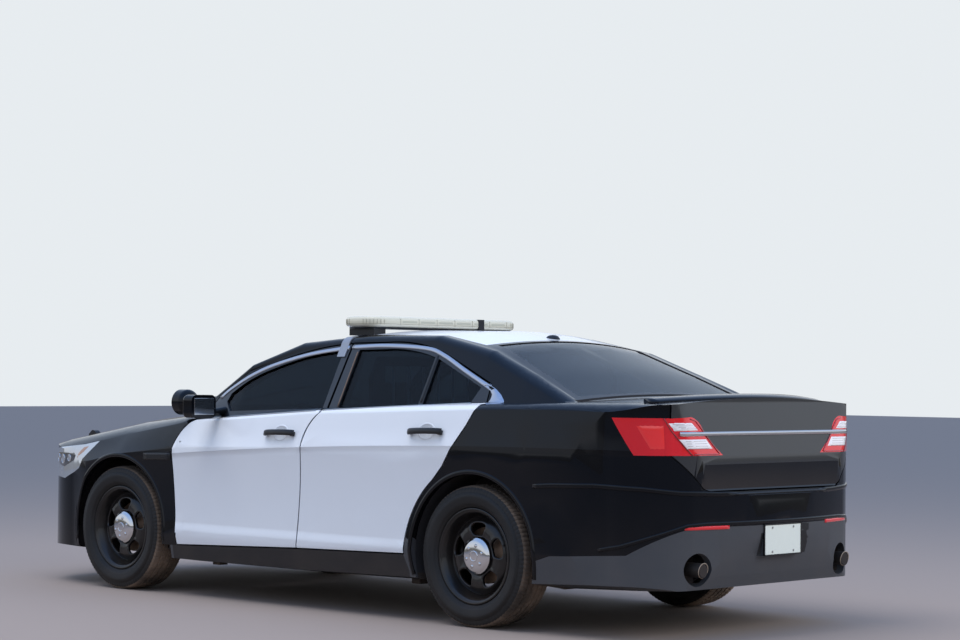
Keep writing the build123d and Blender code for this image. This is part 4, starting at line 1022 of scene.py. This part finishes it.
# push bar rubber faces
low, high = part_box("push_bar")
for side in (1, -1):
    x = side * 0.28
    box("push bar rubber " + str(side), (x - 0.021, low.y + 0.0005, 0.4), (x + 0.021, low.y + 0.014, 0.84), "rubber",
        "body", 0.004)

# dashboard dials
for k, x in enumerate((0.31, 0.43)):
    verts = [(x + u, -0.688, 0.895 + v) for u, v in round_sides(0.045, 32)]
    mesh("dial" + str(k), verts, [tuple(range(32))], "dial", flat=True)

# ---------------------------------------------------------------- stage, light, camera

floor = bpy.data.meshes.new("floor")
floor.from_pydata([(-60, -60, 0), (60, -60, 0), (60, 60, 0), (-60, 60, 0)], [], [(0, 1, 2, 3)])
floor_object = bpy.data.objects.new("floor", floor)
bpy.context.scene.collection.objects.link(floor_object)
floor.materials.append(material("floor", (0.3, 0.245, 0.215), 0.95))

world = bpy.data.worlds.new("studio")
bpy.context.scene.world = world
world.use_nodes = True
wn, wl = world.node_tree.nodes, world.node_tree.links
ramp, grad, coord = wn.new("ShaderNodeValToRGB"), wn.new("ShaderNodeSeparateXYZ"), wn.new("ShaderNodeTexCoord")
wl.new(coord.outputs["Generated"], grad.inputs[0])
wl.new(grad.outputs["Z"], ramp.inputs[0])
# what the paint reflects: dark ground line, pale band, blue top
first, last = ramp.color_ramp.elements[0], ramp.color_ramp.elements[1]
first.position, first.color = 0.0, (0.16, 0.15, 0.14, 1)
last.position, last.color = 0.85, (0.3, 0.52, 1.0, 1)
for place, colour in ((0.055, (0.17, 0.18, 0.17, 1)), (0.1, (0.82, 0.85, 0.9, 1)), (0.38, (0.66, 0.78, 0.97, 1))):
    ramp.color_ramp.elements.new(place).color = colour
# what the camera sees behind the car: one pale tone
back, seen = wn["Background"], wn.new("ShaderNodeBackground")
path_info, both_worlds = wn.new("ShaderNodeLightPath"), wn.new("ShaderNodeMixShader")
put(back, {1: 1.0})
put(seen, {0: (0.8, 0.84, 0.87, 1), 1: 1.0})
wl.new(ramp.outputs[0], back.inputs[0])
wl.new(path_info.outputs["Is Camera Ray"], both_worlds.inputs[0])
wl.new(back.outputs[0], both_worlds.inputs[1])
wl.new(seen.outputs[0], both_worlds.inputs[2])
wl.new(both_worlds.outputs[0], wn["World Output"].inputs[0])


def area(name, place, target, size, power):
    """A soft lamp that lights the scene without showing in reflections."""
    lamp = bpy.data.lights.new(name, "AREA")
    lamp.shape, lamp.size, lamp.size_y, lamp.energy, lamp.color = "RECTANGLE", *size, power, (1.0, 0.98, 0.95)
    o = bpy.data.objects.new(name, lamp)
    bpy.context.scene.collection.objects.link(o)
    o.location = place
    o.rotation_mode = "QUATERNION"
    o.rotation_quaternion = (Vector(target) - Vector(place)).to_track_quat("-Z", "Y")
    o.visible_glossy = False


area("key", (3.0, -1.0, 9.5), (0, 0, 0.6), (7, 7), 760)
area("back fill", (-3.0, 10.0, 4.5), (0, 1.5, 0.7), (6, 4), 420)

CAMERA_PLACE = (9.676, 9.586, 1.286)
YAW, PITCH, ROLL = 0.752, 0.0234, 0.0103  # radians
cam_data = bpy.data.cameras.new("camera")
cam = bpy.data.objects.new("camera", cam_data)
bpy.context.scene.collection.objects.link(cam)
bpy.context.scene.camera = cam
cam_data.sensor_width, cam_data.lens = 36.0, 88.2
ahead = Vector((-cos(YAW) * cos(PITCH), -sin(YAW) * cos(PITCH), sin(PITCH)))
right = ahead.cross(Vector((0, 0, 1))).normalized()
up = right.cross(ahead)
right, up = right * cos(ROLL) + up * sin(ROLL), up * cos(ROLL) - right * sin(ROLL)
cam.matrix_world = Matrix.Translation(CAMERA_PLACE) @ Matrix((right, up, -ahead)).transposed().to_4x4()
cam_data.clip_start, cam_data.clip_end = 0.1, 200
bpy.context.scene.view_settings.view_transform = "Standard"
